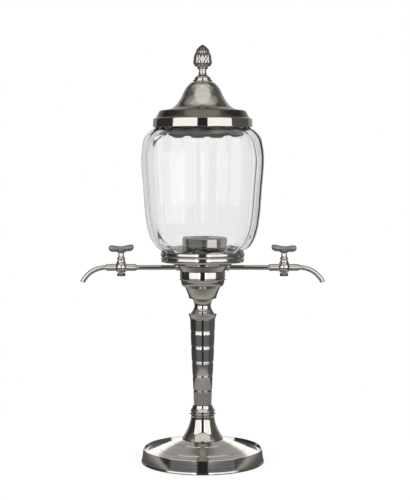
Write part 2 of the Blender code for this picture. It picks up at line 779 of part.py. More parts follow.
def jar_outline():
    outer = jar_outside()
    hole = STEM_RADIUS + BORE_GAP
    inner = [point for point in inset(outer[1::2], JAR_WALL) if point[1] > JAR_FLOOR + JAR_WALL]
    rim = (JAR_NECK_RADIUS - JAR_WALL, JAR_HEIGHT)
    return [*outer, (hole, 0.0), (hole, JAR_FLOOR), (JAR_FOOT_RADIUS, JAR_FLOOR), *inner[:0:-1], rim]


def fluted(point):
    """Press the jar's upright grooves in, deepest on the belly and gone at the foot and the neck."""
    radius = math.hypot(point.x, point.y)
    run_in = point.z / FLUTE_RUN_IN
    run_out = (JAR_SHOULDER_HEIGHT - point.z) / FLUTE_RUN_OUT
    fade = max(0.0, min(1.0, run_in, run_out))
    groove = 1 - abs(math.sin(FLUTES * math.atan2(point.y, point.x) / 2))
    if radius > JAR_FOOT_RADIUS:
        point.xy *= 1 - FLUTE_DEPTH * fade * groove / radius
    return point


def lid_outside():
    """The lid's outer side from the top down: its bell, then its step and band."""
    radius = JAR_NECK_RADIUS + LID_CLEARANCE + LID_WALL
    step_foot = radius - LID_STEP_FOOT_INSET
    step_top = radius - LID_STEP_TOP_INSET
    bell = scaled(
        LID_BELL_SHARES,
        (LID_TOP_RADIUS, LID_BELL_FOOT_HEIGHT),
        (LID_BELL_FOOT_RADIUS, LID_HEIGHT),
    )
    step = [
        (step_top - LID_STEP_ROUND, LID_STEP_TOP_HEIGHT + LID_STEP_ROUND / 2),
        (step_top, LID_STEP_TOP_HEIGHT - LID_STEP_ROUND / 2),
        (step_foot, LID_STEP_FOOT_HEIGHT),
    ]
    band = [(radius, LID_BAND_HEIGHT), (radius, 0.0)]
    return bell, step + band


def lid_outline():
    bell, band = lid_outside()
    outer = bell + band
    inner = inset(bell[::2] + band, LID_WALL)
    bore = STUD_RADIUS + SEAT_GAP
    under_top = LID_HEIGHT - LID_WALL
    inner[0] = (outer[0][0] - LID_WALL, under_top)
    inner[-1] = (inner[-1][0], 0.0)
    return [(bore, LID_HEIGHT), *outer, *inner[::-1], (bore, under_top)]


def liner_outline():
    """An L-shaped ring: a shelf that lies on the jar's rim and a skirt that hangs in its mouth."""
    shelf = JAR_NECK_RADIUS + LID_CLEARANCE - LINER_FIT
    skirt = JAR_NECK_RADIUS - JAR_WALL - LINER_CLEARANCE
    bore = skirt - LINER_WALL
    return [
        (shelf, LINER_SHELF_THICKNESS),
        (shelf, 0.0),
        (skirt, 0.0),
        (skirt, -LINER_SKIRT_DEPTH),
        (bore, -LINER_SKIRT_DEPTH),
        (bore, LINER_SHELF_THICKNESS),
    ]


def finial_base_outline():
    cove = flare(
        (FINIAL_THROAT_RADIUS, FINIAL_BASE_HEIGHT), (FINIAL_FOOT_RADIUS, FINIAL_FOOT_EDGE), 3, 1.8
    )
    foot = [(FINIAL_FOOT_RADIUS, 0.0)]
    return bored(cove + foot, FINIAL_BASE_HEIGHT, STUD_RADIUS + SEAT_GAP)


def bud_outline():
    """The bud's mean outline with two rings of points for each row of leaves, its ring and stalk."""
    foot_z = FINIAL_STALK_HEIGHT + FINIAL_RING_HEIGHT
    tip_z = foot_z + BUD_HEIGHT
    egg = spline(scaled(BUD_SHARES, (0.0, foot_z), (BUD_RADIUS, tip_z)), 4)

    def at(share):
        height = lerp(foot_z, tip_z, share)
        for high, low in zip(egg, egg[1:]):
            if low[1] <= height <= high[1]:
                return (lerp(low[0], high[0], (height - low[1]) / (high[1] - low[1])), height)
        return egg[-1]

    edge_share = LEAF_RELIEF / BUD_HEIGHT
    rows = []
    for share in BUD_ROW_SHARES[:0:-1]:
        rows += [at(share + edge_share / 2), at(share - edge_share / 2)]
    hole = STUD_RADIUS + SEAT_GAP
    hole_top = STUD_IN_BUD + SEAT_GAP
    return [
        (0.0, tip_z),
        *rows,
        at(BUD_ROW_SHARES[0]),
        *bead(
            (FINIAL_RING_RADIUS - LEAF_RELIEF, foot_z),
            (FINIAL_RING_RADIUS - LEAF_RELIEF, FINIAL_STALK_HEIGHT),
            LEAF_RELIEF,
            2,
        ),
        (FINIAL_THROAT_RADIUS, 0.0),
        (hole, 0.0),
        (hole, hole_top),
        (0.0, hole_top),
    ]


def leafed(point):
    """Raise each row's pointed leaves on the bud, and set each row half a leaf round from the last."""
    radius = math.hypot(point.x, point.y)
    foot_z = FINIAL_STALK_HEIGHT + FINIAL_RING_HEIGHT
    share = (point.z - foot_z) / BUD_HEIGHT
    inside = radius < STUD_RADIUS + 2 * SEAT_GAP
    if inside or share <= BUD_ROW_SHARES[0] or share > BUD_ROW_SHARES[-1]:
        return point
    row = sum(share > start for start in BUD_ROW_SHARES) - 1
    rise = (share - BUD_ROW_SHARES[row]) / (BUD_ROW_SHARES[row + 1] - BUD_ROW_SHARES[row])
    wave = math.cos(BUD_LEAVES * math.atan2(point.y, point.x) + math.pi * row)
    point.xy *= 1 + LEAF_RELIEF * (rise * wave - (1 - rise) / 2) / radius
    return point


def hex_nut(name, across_flats, height, bore, seat, parent=None):
    """A bored hexagon nut that stands on its seat, a point on the nut's axis."""
    nut = place(hexagon(name, across_flats, height), seat, parent=parent)
    hole = disc(name + "_bore", bore, height + 2 * CUT_OVERRUN, SMALL_SIDES)
    hole_foot = (seat[0], seat[1], seat[2] - CUT_OVERRUN)
    return cut(nut, place(hole, hole_foot, parent=parent))


def build_stand():
    """The pieces that the tie rod clamps, and the rod with its nuts."""
    stack = (
        ("base", base_outline(), WIDE_SIDES, 0.0),
        ("foot_trumpet", trumpet_outline(), BROAD_SIDES, TRUMPET_Z),
        ("foot_ring", foot_ring_outline(), STEM_SIDES, FOOT_RING_Z),
        ("column_skirt", skirt_outline(), STEM_SIDES, SKIRT_Z),
        ("column", column_outline(), STEM_SIDES, COLUMN_Z),
        ("capital_ring", capital_outline(), STEM_SIDES, CAPITAL_Z),
        ("neck", neck_outline(), STEM_SIDES, NECK_Z),
        ("bowl", bowl_outline(), BROAD_SIDES, BOWL_Z),
        ("hub", hub_outline(), BROAD_SIDES, HUB_Z),
    )
    for name, outline, sides, z in stack:
        finish(place(turned(name, outline, sides), (0.0, 0.0, z)), nickel)

    washer_z = BASE_HEIGHT - BASE_WALL - SEAT_GAP - WASHER_THICKNESS
    washer = ring("base_washer", WASHER_RADIUS, ROD_BORE_RADIUS, WASHER_THICKNESS, SMALL_SIDES)
    finish(place(washer, (0.0, 0.0, washer_z)), nickel)
    low_nut_z = washer_z - SEAT_GAP - NUT_HEIGHT
    top_nut_z = BOWL_Z + BOWL_FLOOR + SEAT_GAP
    for name, z in (("base_nut", low_nut_z), ("rod_top_nut", top_nut_z)):
        seat = (0.0, 0.0, z)
        finish(hex_nut(name, NUT_ACROSS_FLATS, NUT_HEIGHT, ROD_BORE_RADIUS, seat), nickel)
    rod_z = low_nut_z - ROD_PAST_NUT
    rod_length = top_nut_z + NUT_HEIGHT + ROD_PAST_NUT - rod_z
    rod = disc("tie_rod", ROD_RADIUS, rod_length, SMALL_SIDES, ROD_CHAMFER)
    finish(place(rod, (0.0, 0.0, rod_z)), nickel)


def along_x(obj, start, z):
    """Turn a piece that stands on its origin to lie along +X from a start."""
    return place(obj, (start, 0.0, z), math.pi / 2)


def waterway(name, reach, inlet_radius, outlet_radius, overrun=CUT_OVERRUN):
    """A cutter for a water bore with a tube socket at both of its ends."""
    end = reach + overrun
    floor = reach - SOCKET_DEPTH
    outline = [
        (0.0, end),
        (outlet_radius + SEAT_GAP, end),
        (outlet_radius + SEAT_GAP, floor),
        (WATER_BORE_RADIUS, floor),
        (WATER_BORE_RADIUS, -floor),
        (inlet_radius + SEAT_GAP, -floor),
        (inlet_radius + SEAT_GAP, -end),
        (0.0, -end),
    ]
    return turned(name, outline, BORE_SIDES)


def build_manifold():
    """The water block with its side bosses, stem well, cross bore and tube sockets."""
    manifold = place(turned("manifold", manifold_outline(), BROAD_SIDES), (0.0, 0.0, MANIFOLD_Z))
    bar = disc("manifold_bosses", BOSS_RADIUS, 2 * BOSS_REACH, SMALL_SIDES)
    add(manifold, along_x(bar, -BOSS_REACH, TAP_AXIS_Z))
    seat = stem_seat_height()
    seat_z = MANIFOLD_HEIGHT + SEAT_GAP + COLLAR_FLOOR
    well = turned(
        "manifold_well",
        [
            (0.0, seat_z + CUT_OVERRUN),
            (STEM_RADIUS + SEAT_GAP, seat_z + CUT_OVERRUN),
            (STEM_RADIUS + SEAT_GAP, seat - SEAT_GAP),
            (STEM_BORE_RADIUS, seat - SEAT_GAP),
            (STEM_BORE_RADIUS, MANIFOLD_SUMP_DEPTH),
            (0.0, MANIFOLD_SUMP_DEPTH),
        ],
        SMALL_SIDES,
    )
    cut(manifold, place(well, (0.0, 0.0, MANIFOLD_Z)))
    past_plate = MANIFOLD_PLATE_RADIUS - BOSS_REACH + CUT_OVERRUN
    way = waterway("manifold_waterway", BOSS_REACH, TUBE_RADIUS, TUBE_RADIUS, past_plate)
    cut(manifold, along_x(way, 0.0, TAP_AXIS_Z))
    finish(manifold, nickel)


def build_jar():
    """The collar, the glass and everything that clamps it."""
    collar = turned("collar", collar_outline(), WIDE_SIDES)
    finish(place(collar, (0.0, 0.0, COLLAR_Z)), nickel)
    jar = place(turned("jar", jar_outline(), FLUTES * FLUTE_STEPS), (0.0, 0.0, JAR_Z))
    finish(jar, clear_glass, fluted)
    jar.rotation_euler.z = math.radians(FLUTE_TURN_DEGREES)

    bore = STEM_RADIUS + BORE_GAP
    rings = (
        ("jar_gasket_lower", JAR_FOOT_RADIUS - GASKET_INSET, GASKET_THICKNESS, LOWER_GASKET_Z, rubber),
        ("jar_gasket_upper", CLAMP_FLANGE_RADIUS - GASKET_INSET, GASKET_THICKNESS, UPPER_GASKET_Z, rubber),
        ("clamp_flange", CLAMP_FLANGE_RADIUS, CLAMP_FLANGE_THICKNESS, CLAMP_FLANGE_Z, nickel),
    )
    for name, radius, thickness, z, look in rings:
        piece = ring(name, radius, bore, thickness, STEM_SIDES)
        finish(place(piece, (0.0, 0.0, z)), look)

    nut_outline = [
        (CLAMP_NUT_RADIUS - CLAMP_NUT_ROUND, CLAMP_NUT_HEIGHT),
        (CLAMP_NUT_RADIUS, CLAMP_NUT_HEIGHT - CLAMP_NUT_ROUND),
        (CLAMP_NUT_RADIUS, 0.0),
    ]
    nut = turned("clamp_nut", bored(nut_outline, CLAMP_NUT_HEIGHT, bore), STEM_SIDES)
    finish(place(nut, (0.0, 0.0, CLAMP_NUT_Z)), nickel)

    stem_z = MANIFOLD_Z + stem_seat_height()
    stem_length = CLAMP_NUT_Z + CLAMP_NUT_HEIGHT - STEM_BELOW_NUT_TOP - stem_z
    stem = ring("outlet_stem", STEM_RADIUS, STEM_BORE_RADIUS, stem_length, SMALL_SIDES)
    finish(place(stem, (0.0, 0.0, stem_z)), nickel)


def build_lid():
    """The spun cover with the ring inside it, and the finial bolted through its top."""
    pieces = (
        ("lid_shell", lid_outline(), WIDE_SIDES, LID_Z),
        ("lid_liner", liner_outline(), WIDE_SIDES, LINER_Z),
        ("finial_base", finial_base_outline(), STEM_SIDES, FINIAL_BASE_Z),
    )
    for name, outline, sides, z in pieces:
        finish(place(turned(name, outline, sides), (0.0, 0.0, z)), nickel)
    bud = turned("finial_bud", bud_outline(), 2 * BUD_LEAVES)
    finish(place(bud, (0.0, 0.0, FINIAL_BUD_Z)), nickel, leafed)

    bore = STUD_RADIUS + SEAT_GAP
    washer_z = LID_Z + LID_HEIGHT - LID_WALL - SEAT_GAP - STUD_WASHER_THICKNESS
    washer = ring("finial_washer", STUD_WASHER_RADIUS, bore, STUD_WASHER_THICKNESS, SMALL_SIDES)
    finish(place(washer, (0.0, 0.0, washer_z)), nickel)
    nut_z = washer_z - SEAT_GAP - STUD_NUT_HEIGHT
    nut_seat = (0.0, 0.0, nut_z)
    nut = hex_nut("finial_nut", STUD_NUT_ACROSS_FLATS, STUD_NUT_HEIGHT, bore, nut_seat)
    finish(nut, nickel)
    stud_z = nut_z - STUD_PAST_NUT
    stud = disc("finial_stud", STUD_RADIUS, FINIAL_BUD_Z + STUD_IN_BUD - stud_z, SMALL_SIDES)
    finish(place(stud, (0.0, 0.0, stud_z)), nickel)


def tap_body(parent):
    """Ball, bell and sleeves as one casting, bored for the key, the water and both tubes."""
    cove = flare((BELL_TOP_RADIUS, BELL_TOP_HEIGHT), (BELL_RADIUS, BELL_FOOT_HEIGHT), 2)
    start = math.asin(BELL_FOOT_HEIGHT / BALL_RADIUS) / 2
    end = -math.asin(BALL_BOTTOM_DEPTH / BALL_RADIUS)
    ball = []
    for step in range(BALL_STEPS + 1):
        turn = lerp(start, end, step / BALL_STEPS)
        ball.append((BALL_RADIUS * math.cos(turn), BALL_RADIUS * math.sin(turn)))
    outline = [(0.0, BELL_TOP_HEIGHT), *cove, *ball, (0.0, ball[-1][1])]
    centre = (TAP_REACH, 0.0, 0.0)
    body = place(turned("right_tap_body", outline, SMALL_SIDES), centre, parent=parent)

    sleeves = disc("tap_sleeves", SLEEVE_RADIUS, 2 * SLEEVE_REACH, SMALL_SIDES, SLEEVE_CHAMFER)
    add(body, place(sleeves, (TAP_REACH - SLEEVE_REACH, 0.0, 0.0), math.pi / 2, parent))
    plug = [
        (0.0, BELL_TOP_HEIGHT + CUT_OVERRUN),
        (PLUG_TOP_RADIUS + BORE_GAP, BELL_TOP_HEIGHT + CUT_OVERRUN),
        (PLUG_BOTTOM_RADIUS + BORE_GAP, -BALL_BOTTOM_DEPTH - CUT_OVERRUN),
        (0.0, -BALL_BOTTOM_DEPTH - CUT_OVERRUN),
    ]
    cut(body, place(turned("tap_plug_bore", plug, SMALL_SIDES), centre, parent=parent))
    way = waterway("tap_waterway", SLEEVE_REACH, TUBE_RADIUS, SPOUT_RADIUS)
    cut(body, place(way, centre, math.pi / 2, parent))
    return finish(body, nickel)


def tap_nut_top():
    """Height of the tap nut's upper face against the tap's axis."""
    return -BALL_BOTTOM_DEPTH - 2 * SEAT_GAP - TAP_WASHER_THICKNESS


def tap_key(parent):
    """The tapered plug with its cross hole, flange, neck and spigot above, and tail below."""
    flange = BELL_TOP_HEIGHT + SEAT_GAP
    neck = flange + KEY_FLANGE_HEIGHT
    top = neck + KEY_NECK_HEIGHT
    rounded = bead(
        (KEY_FLANGE_RADIUS - KEY_FLANGE_SWELL, neck),
        (KEY_FLANGE_RADIUS - KEY_FLANGE_SWELL, flange),
        KEY_FLANGE_SWELL,
        2,
    )
    outline = [
        (0.0, top + KEY_SPIGOT_HEIGHT),
        (KEY_SPIGOT_RADIUS, top + KEY_SPIGOT_HEIGHT),
        (KEY_SPIGOT_RADIUS, top),
        (KEY_NECK_RADIUS, top),
        (KEY_NECK_RADIUS, neck),
        *rounded,
        (PLUG_TOP_RADIUS, flange),
        (PLUG_BOTTOM_RADIUS, -BALL_BOTTOM_DEPTH + SEAT_GAP),
        (KEY_TAIL_RADIUS, -BALL_BOTTOM_DEPTH + SEAT_GAP),
        (KEY_TAIL_RADIUS, tap_nut_top() - TAP_NUT_HEIGHT),
        (0.0, tap_nut_top() - TAP_NUT_HEIGHT),
    ]
    key = turned("right_tap_key", outline, SMALL_SIDES)
    place(key, (TAP_REACH, 0.0, 0.0), parent=parent)
    reach = PLUG_TOP_RADIUS + CUT_OVERRUN
    hole = disc("key_cross_hole", WATER_BORE_RADIUS, 2 * reach, BORE_SIDES)
    cut(key, place(hole, (TAP_REACH - reach, 0.0, 0.0), math.pi / 2, parent))
    return finish(key, nickel)


def tap_handle(parent):
    """A cast T handle with two lobes, on a flared boss that sits over the key's spigot."""
    boss_z = BELL_TOP_HEIGHT + KEY_FLANGE_HEIGHT + KEY_NECK_HEIGHT + 2 * SEAT_GAP
    waist = HANDLE_LOBE_RADIUS * HANDLE_SHARES[len(HANDLE_SHARES) // 2][1]
    middle = HANDLE_BOSS_HEIGHT + waist
    half = HANDLE_LENGTH / 2
    rise = math.tan(math.radians(HANDLE_TILT_DEGREES))
    places = []
    for along, _ in HANDLE_SHARES:
        lift = HANDLE_SMILE * along**2 - half * along * rise
        places.append((half * along, 0.0, middle + lift))
    bar = tube("right_tap_handle", places, [HANDLE_LOBE_RADIUS * size for _, size in HANDLE_SHARES])
    for vertex in bar.data.vertices:
        vertex.co.y *= HANDLE_FLATTEN_SHARE
    seat = (TAP_REACH, 0.0, boss_z)
    place(bar, seat, parent=parent)
    boss_outline = [
        (0.0, middle),
        (HANDLE_BOSS_RADIUS + HANDLE_BOSS_FLARE, HANDLE_BOSS_HEIGHT),
        (HANDLE_BOSS_RADIUS, 0.0),
        (0.0, 0.0),
    ]
    boss = turned("handle_boss", boss_outline, SMALL_SIDES)
    add(bar, place(boss, seat, parent=parent))
    socket = disc(
        "handle_socket",
        KEY_SPIGOT_RADIUS + SEAT_GAP,
        KEY_SPIGOT_HEIGHT + CUT_OVERRUN,
        SMALL_SIDES,
    )
    cut(bar, place(socket, (TAP_REACH, 0.0, boss_z - CUT_OVERRUN), parent=parent))
    return finish(bar, nickel)


def tap_nut(parent):
    seat = (TAP_REACH, 0.0, tap_nut_top() - TAP_NUT_HEIGHT)
    bore = KEY_TAIL_RADIUS + SEAT_GAP
    nut = hex_nut("right_tap_nut", TAP_NUT_ACROSS_FLATS, TAP_NUT_HEIGHT, bore, seat, parent)
    return finish(nut, nickel)


def tap_washer(parent):
    washer = ring(
        "right_tap_washer",
        TAP_WASHER_RADIUS,
        KEY_TAIL_RADIUS + SEAT_GAP,
        TAP_WASHER_THICKNESS,
        SMALL_SIDES,
    )
    place(washer, (TAP_REACH, 0.0, tap_nut_top() + SEAT_GAP), parent=parent)
    return finish(washer, nickel)


def spout(parent):
    """A tube that leaves the sleeve level, bends down, and is cut almost level at its tip."""
    start = SLEEVE_REACH - SOCKET_DEPTH + SEAT_GAP
    bend = math.radians(SPOUT_BEND_DEGREES)
    path = [(start, 0.0, 0.0)]

    def bent(turn):
        across = SPOUT_BEND_RADIUS * math.sin(turn)
        return (SLEEVE_REACH + across, 0.0, SPOUT_BEND_RADIUS * (math.cos(turn) - 1))

    path += [bent(bend * step / (SPOUT_BEND_STEPS - 0.5)) for step in range(SPOUT_BEND_STEPS + 1)]
    body = tube("right_spout", path, [SPOUT_RADIUS] * len(path))
    first = (start - CUT_OVERRUN, 0.0, 0.0)
    last = tuple(2 * end - near for end, near in zip(path[-1], path[-2]))
    bore = tube("spout_bore", [first, *path, last], [SPOUT_BORE_RADIUS] * (len(path) + 2))
    root = (TAP_REACH, 0.0, 0.0)
    place(body, root, parent=parent)
    tilt = math.radians(SPOUT_CUT_DEGREES)
    block_size = 8 * SPOUT_RADIUS
    tip = bent(bend)
    block = box("spout_end_cut", block_size, block_size, block_size)
    depth = block_size / 2
    centre = (
        TAP_REACH + tip[0] + depth * math.sin(tilt),
        0.0,
        tip[2] - depth * math.cos(tilt),
    )
    cut(body, place(block, centre, -tilt, parent))
    cut(body, place(bore, root, parent=parent))
    return finish(body, nickel)


def feed_tube(parent):
    """The straight tube between the manifold's boss and the tap's inlet sleeve."""
    start = BOSS_REACH - SOCKET_DEPTH + SEAT_GAP
    end = TAP_REACH - SLEEVE_REACH + SOCKET_DEPTH - SEAT_GAP
    pipe = ring("right_feed_tube", TUBE_RADIUS, WATER_BORE_RADIUS, end - start, SMALL_SIDES)
    return finish(place(pipe, (start, 0.0, 0.0), math.pi / 2, parent), nickel)


def build_taps():
    """Everything on the right side, and its twin on the left, half a turn round the stem."""
    sides = {}
    for name, turn in (("right_side", 0.0), ("left_side", math.pi)):
        empty = bpy.data.objects.new(name, None)
        PIECES.objects.link(empty)
        empty.empty_display_size = TAP_REACH / 4
        empty.location = (0.0, 0.0, TAP_AXIS_Z)
        empty.rotation_euler = (0.0, 0.0, turn)
        sides[name] = empty
    for build in (feed_tube, tap_body, tap_key, tap_handle, tap_washer, tap_nut, spout):
        piece = build(sides["right_side"])
        twin = bpy.data.objects.new(piece.name.replace("right_", "left_"), piece.data)
        PIECES.objects.link(twin)
        place(twin, piece.location, piece.rotation_euler.y, sides["left_side"])


clear_scene()
PIECES = new_collection("absinthe_fountain")
CUTTERS = new_collection("cutters")
build_stand()
build_manifold()
build_jar()
build_lid()
build_taps()
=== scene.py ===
"""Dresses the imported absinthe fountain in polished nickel, fluted glass and rubber, in a plain studio.

The file is laid out as a Blender add-on and is run as a script. Outlines are in millimetres over the
foot of the node that they stand for, and every finished mesh is in metres.
"""

import math

import bmesh
import bpy
from bpy.props import FloatProperty, FloatVectorProperty, IntProperty, PointerProperty
from mathutils import Matrix, Vector


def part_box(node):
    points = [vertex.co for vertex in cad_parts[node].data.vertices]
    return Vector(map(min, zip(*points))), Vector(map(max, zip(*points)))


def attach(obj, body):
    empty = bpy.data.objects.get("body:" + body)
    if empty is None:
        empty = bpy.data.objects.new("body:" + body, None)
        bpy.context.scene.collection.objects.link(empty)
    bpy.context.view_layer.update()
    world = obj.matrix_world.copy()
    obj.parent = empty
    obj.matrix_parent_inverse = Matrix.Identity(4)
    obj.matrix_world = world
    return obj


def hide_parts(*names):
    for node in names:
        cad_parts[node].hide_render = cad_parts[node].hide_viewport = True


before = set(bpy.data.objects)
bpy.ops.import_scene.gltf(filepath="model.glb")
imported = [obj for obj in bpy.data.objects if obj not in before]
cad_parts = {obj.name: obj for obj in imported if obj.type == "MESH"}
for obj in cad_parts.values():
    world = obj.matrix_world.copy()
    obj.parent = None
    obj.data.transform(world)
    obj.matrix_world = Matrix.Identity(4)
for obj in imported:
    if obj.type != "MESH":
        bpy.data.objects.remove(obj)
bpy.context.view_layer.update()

bl_info = {
    "name": "Absinthe fountain",
    "version": (1, 0, 0),
    "blender": (4, 5, 0),
    "location": "3D View > Sidebar > Fountain",
    "description": "Dresses a two-spout absinthe fountain and sets its studio",
    "category": "Add Mesh",
}

MM = 0.001

# Welds and the points that keep a flat flat beside a rounded corner, in metres
WELD = 0.000002
HOLD = 0.0002
CORNER_SEGMENTS = 4
SHARP_DEGREES = 38.0

# Facets round a wide, a middling, a slim and a small turned piece
WIDE = 192
BROAD = 128
SLIM = 96
SMALL = 64

# Fits that repeat from piece to piece, in millimetres
GAP = 0.3
ROD_BORE = 4.4
STEM_BORE = 12.4
STUD_BORE = 2.3

# Places read from the frame, in millimetres
TAP_REACH = (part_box("right_tap_key")[0].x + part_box("right_tap_key")[1].x) / 2 / MM
TAP_AXIS = (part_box("right_feed_tube")[0].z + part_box("right_feed_tube")[1].z) / 2 / MM

# Column
COLUMN_HEIGHT = 110.2
COLUMN_FOOT = 11.4
COLUMN_TOP = 16.2
COLUMN_BANDS = (0.845, 0.67, 0.49, 0.33, 0.153)
BAND_HEIGHT = 5.2
# Painted shade that darkens the column towards its foot: how far above the foot each band reaches, in
# millimetres, and the colour it multiplies by
COLUMN_PAINTED_SHADE = ((34.0, (0.82, 0.82, 0.83)), (16.0, (0.72, 0.72, 0.73)))
BAND_FILLETS = ((0.6, 2.8), (0.6, 2.4), (1.3, 0.8), (0.8, 0.6), (0.5, 0.4))

# Jar
JAR_HEIGHT = 172.8
JAR_SHOULDER = 164.4
JAR_BELLY = 123.4
JAR_RADIUS = 78.4
JAR_FOOT = 46.0
JAR_NECK = 59.6
JAR_FLOOR = 5.0
JAR_LOWER = (
    (1.0, 1.0), (0.925, 0.72), (0.846, 0.448), (0.722, 0.263), (0.509, 0.139), (0.16, 0.062), (0.0, 0.0),
)
JAR_UPPER = ((0.0, 1.0), (0.11, 0.982), (0.40, 0.905), (0.72, 0.745), (0.9, 0.52))

# Lid
LID_RADIUS = 63.1
LID_HEIGHT = 57.1
LID_BELL = (
    (0.0, 1.0), (0.108, 0.955), (0.3125, 0.789), (0.4375, 0.632), (0.5875, 0.393), (0.8, 0.16), (1.0, 0.0),
)
LID_LINES = (48.4, 44.4)
# Painted shade on the lid's step under the ledge, lighter just above it: the heights above the lid's foot
# where each band starts and ends, in millimetres, and the colour it multiplies by
LID_PAINTED_SHADE = ((11.6, 21.8, (0.3, 0.28, 0.26)), (21.8, 25.6, (0.6, 0.57, 0.55)))

# Artichoke bud
BUD_FOOT = 4.8
BUD_RADIUS = 11.3
BUD_HEIGHT = 28.3
BUD_EGG = (
    (0.0, 1.0), (0.17, 0.965), (0.43, 0.88), (0.6, 0.79), (0.82, 0.61), (0.95, 0.43), (1.0, 0.25),
    (1.0, 0.165), (0.79, 0.03), (0.58, 0.0),
)
BUD_TIP = 24.5
LEAF_GRID = (12, 14)
LEAF_OVERLAP = 1.12
BUD_ROWS = ((0.0, 0.26), (0.1, 0.3), (0.23, 0.32), (0.37, 0.33), (0.51, 0.33), (0.65, 0.345))

# Tap
BALL_RADIUS = 8.0
BALL_CUT = 6.5
BELL_TOP = 9.4
SLEEVE_RADIUS = 4.45
SLEEVE_REACH = 19.5
SOCKET = 5.6
PIPE_RADIUS = 3.1
WATER_BORE = 2.0
TAIL_BORE = 2.2
HANDLE_HALF = 16.0
HANDLE_LOBE = 4.3
HANDLE_FLATTEN = 0.82
HANDLE_DROOP = 1.6
HANDLE_TILT = 2.4
CAST_VOXEL = 0.26
CAST_ROUNDS = 5
HANDLE_LOBES = (
    (-1.0, 0.0), (-0.995, 0.2), (-0.97, 0.5), (-0.9, 0.78), (-0.7, 1.0), (-0.35, 0.88), (0.0, 0.8),
    (0.35, 0.88), (0.7, 1.0), (0.9, 0.78), (0.97, 0.5), (0.995, 0.2), (1.0, 0.0),
)

# Spout
SPOUT_RADIUS = 3.1
SPOUT_BORE = 2.3
SPOUT_BEND = 33.0
SPOUT_DEGREES = 64.4
SPOUT_CUT_DEGREES = 13.0
SPOUT_OVERRUN = 8.0
SPOUT_STEPS = 44
SPOUT_SIDES = 48

# Flutes: the facets across each, how far they take to fade in above the foot and out below their top,
# in millimetres, and the two heights between which they deepen, and how much
FLUTE_FACETS = 18
FLUTE_FADE_IN = 20.0
FLUTE_TOP = JAR_SHOULDER + 4.0
FLUTE_FADE_OUT = 6.0
FLUTE_DEEPENS = (128.0, 158.0, 0.9)

# Turns of the facets of a tap's sleeves, its plug's bore and its waterway, in degrees. They keep
# the facets of crossing shapes apart, so that the cuts come out clean.
TAP_FACET_TURNS = (1.7, 2.3, 3.1)

# Finishes: how fine the patterns are, how deep their bumps are in metres, the slant of the tool
# lines' coordinate, and the half width of a darkened band's edge and of one that covers all, in
# millimetres
FINE_LINES = 2600.0
BROAD_LINES = 420.0
SMUDGES = 38.0
SPECKS = 900.0
PITS = 700.0
PORES = 2200.0
LINE_DEPTH = 0.000012
PIT_DEPTH = 0.00008
PORE_DEPTH = 0.00005
RIPPLE_DEPTH = 0.0002
LINE_SLANT = 0.73
DARK_BAND_EDGE = 1.0
ALL_OVER = 60.0

# Glass
GLASS_IOR = 1.47
GLASS_GLOSS = 0.15
GLASS_DEEP = (0.62, 0.66, 0.66, 1.0)


def mix(start, end, share):
    return start + (end - start) * share


def flare(narrow, wide, steps, power=2.0):
    """Points from the narrow to the wide end of a trumpet curve, upright at the narrow end."""
    shares = [step / steps for step in range(steps + 1)]
    return [(mix(narrow[0], wide[0], s**power), mix(narrow[1], wide[1], s)) for s in shares]


def quarter(start, end, steps):
    """Points of a quarter ellipse that leaves its start level and meets its end upright."""
    turns = [math.pi / 2 * step / steps for step in range(steps + 1)]
    return [(mix(start[0], end[0], math.sin(t)), mix(end[1], start[1], math.cos(t))) for t in turns]


def bead(top, bottom, swell, steps=8):
    """Points down a half-round bead between its two ends."""
    shares = [step / steps for step in range(steps + 1)]
    return [
        (mix(top[0], bottom[0], s) + swell * math.sin(math.pi * s), mix(top[1], bottom[1], s))
        for s in shares
    ]


def smooth(points, steps):
    """Points on a smooth curve through a few points."""
    padded = [points[0], *points, points[-1]]
    curve = []
    for before, start, end, after in zip(padded, padded[1:], padded[2:], padded[3:]):
        for step in range(steps):
            s = step / steps
            weights = (
                (-(s**3) + 2 * s**2 - s) / 2,
                (3 * s**3 - 5 * s**2 + 2) / 2,
                (-3 * s**3 + 4 * s**2 + s) / 2,
                (s**3 - s**2) / 2,
            )
            painted_shade_near_base = (before, start, end, after)
            curve.append(tuple(sum(w * p[i] for w, p in zip(weights, painted_shade_near_base)) for i in range(2)))
    return [*curve, tuple(points[-1][:2])]


def scaled(shares, low, high):
    """Points from pairs of shares, between a low and a high corner."""
    return [(mix(low[0], high[0], across), mix(low[1], high[1], up)) for across, up in shares]


def rounded(point, radius):
    """The same point, marked as a corner to round."""
    return (point[0], point[1], radius)


def radius_at(outline, height):
    """The outline's radius at a height."""
    for first, second in zip(outline, outline[1:]):
        low, high = sorted((first[1], second[1]))
        if low <= height <= high and high > low:
            return mix(first[0], second[0], (height - first[1]) / (second[1] - first[1]))
    return outline[-1][0]


def round_corner(shape, corner, radius):
    """Rounds one corner of a wire outline, and keeps the flats beside it flat."""
    made = bmesh.ops.bevel(
        shape,
        geom=[corner],
        offset=radius,
        offset_type="OFFSET",
        affect="VERTICES",
        segments=CORNER_SEGMENTS,
        profile=0.5,
        material=-1,
        clamp_overlap=True,
    )
    arc = set(made["verts"])
    for end in arc:
        for edge in list(end.link_edges):
            length = edge.calc_length()
            if edge.other_vert(end) not in arc and length > 4 * HOLD:
                bmesh.utils.edge_split(edge, end, HOLD / length)


def spun(outline, sides, foot=0.0):
    """A closed turned shape about Z. The outline runs down the outer side, from the axis or round a bore."""
    shape = bmesh.new()
    points = [shape.verts.new((p[0] * MM, 0.0, (p[1] + foot) * MM)) for p in outline]
    for start, end in zip(points, points[1:]):
        shape.edges.new((start, end))
    if outline[0][0] > 0:
        shape.edges.new((points[-1], points[0]))
    for point, place in zip(points, outline):
        if len(place) > 2:
            round_corner(shape, point, place[2] * MM)
    bmesh.ops.spin(
        shape,
        geom=shape.verts[:] + shape.edges[:],
        axis=(0.0, 0.0, 1.0),
        angle=math.tau,
        steps=sides,
        use_merge=True,
    )
    return cleaned(shape)


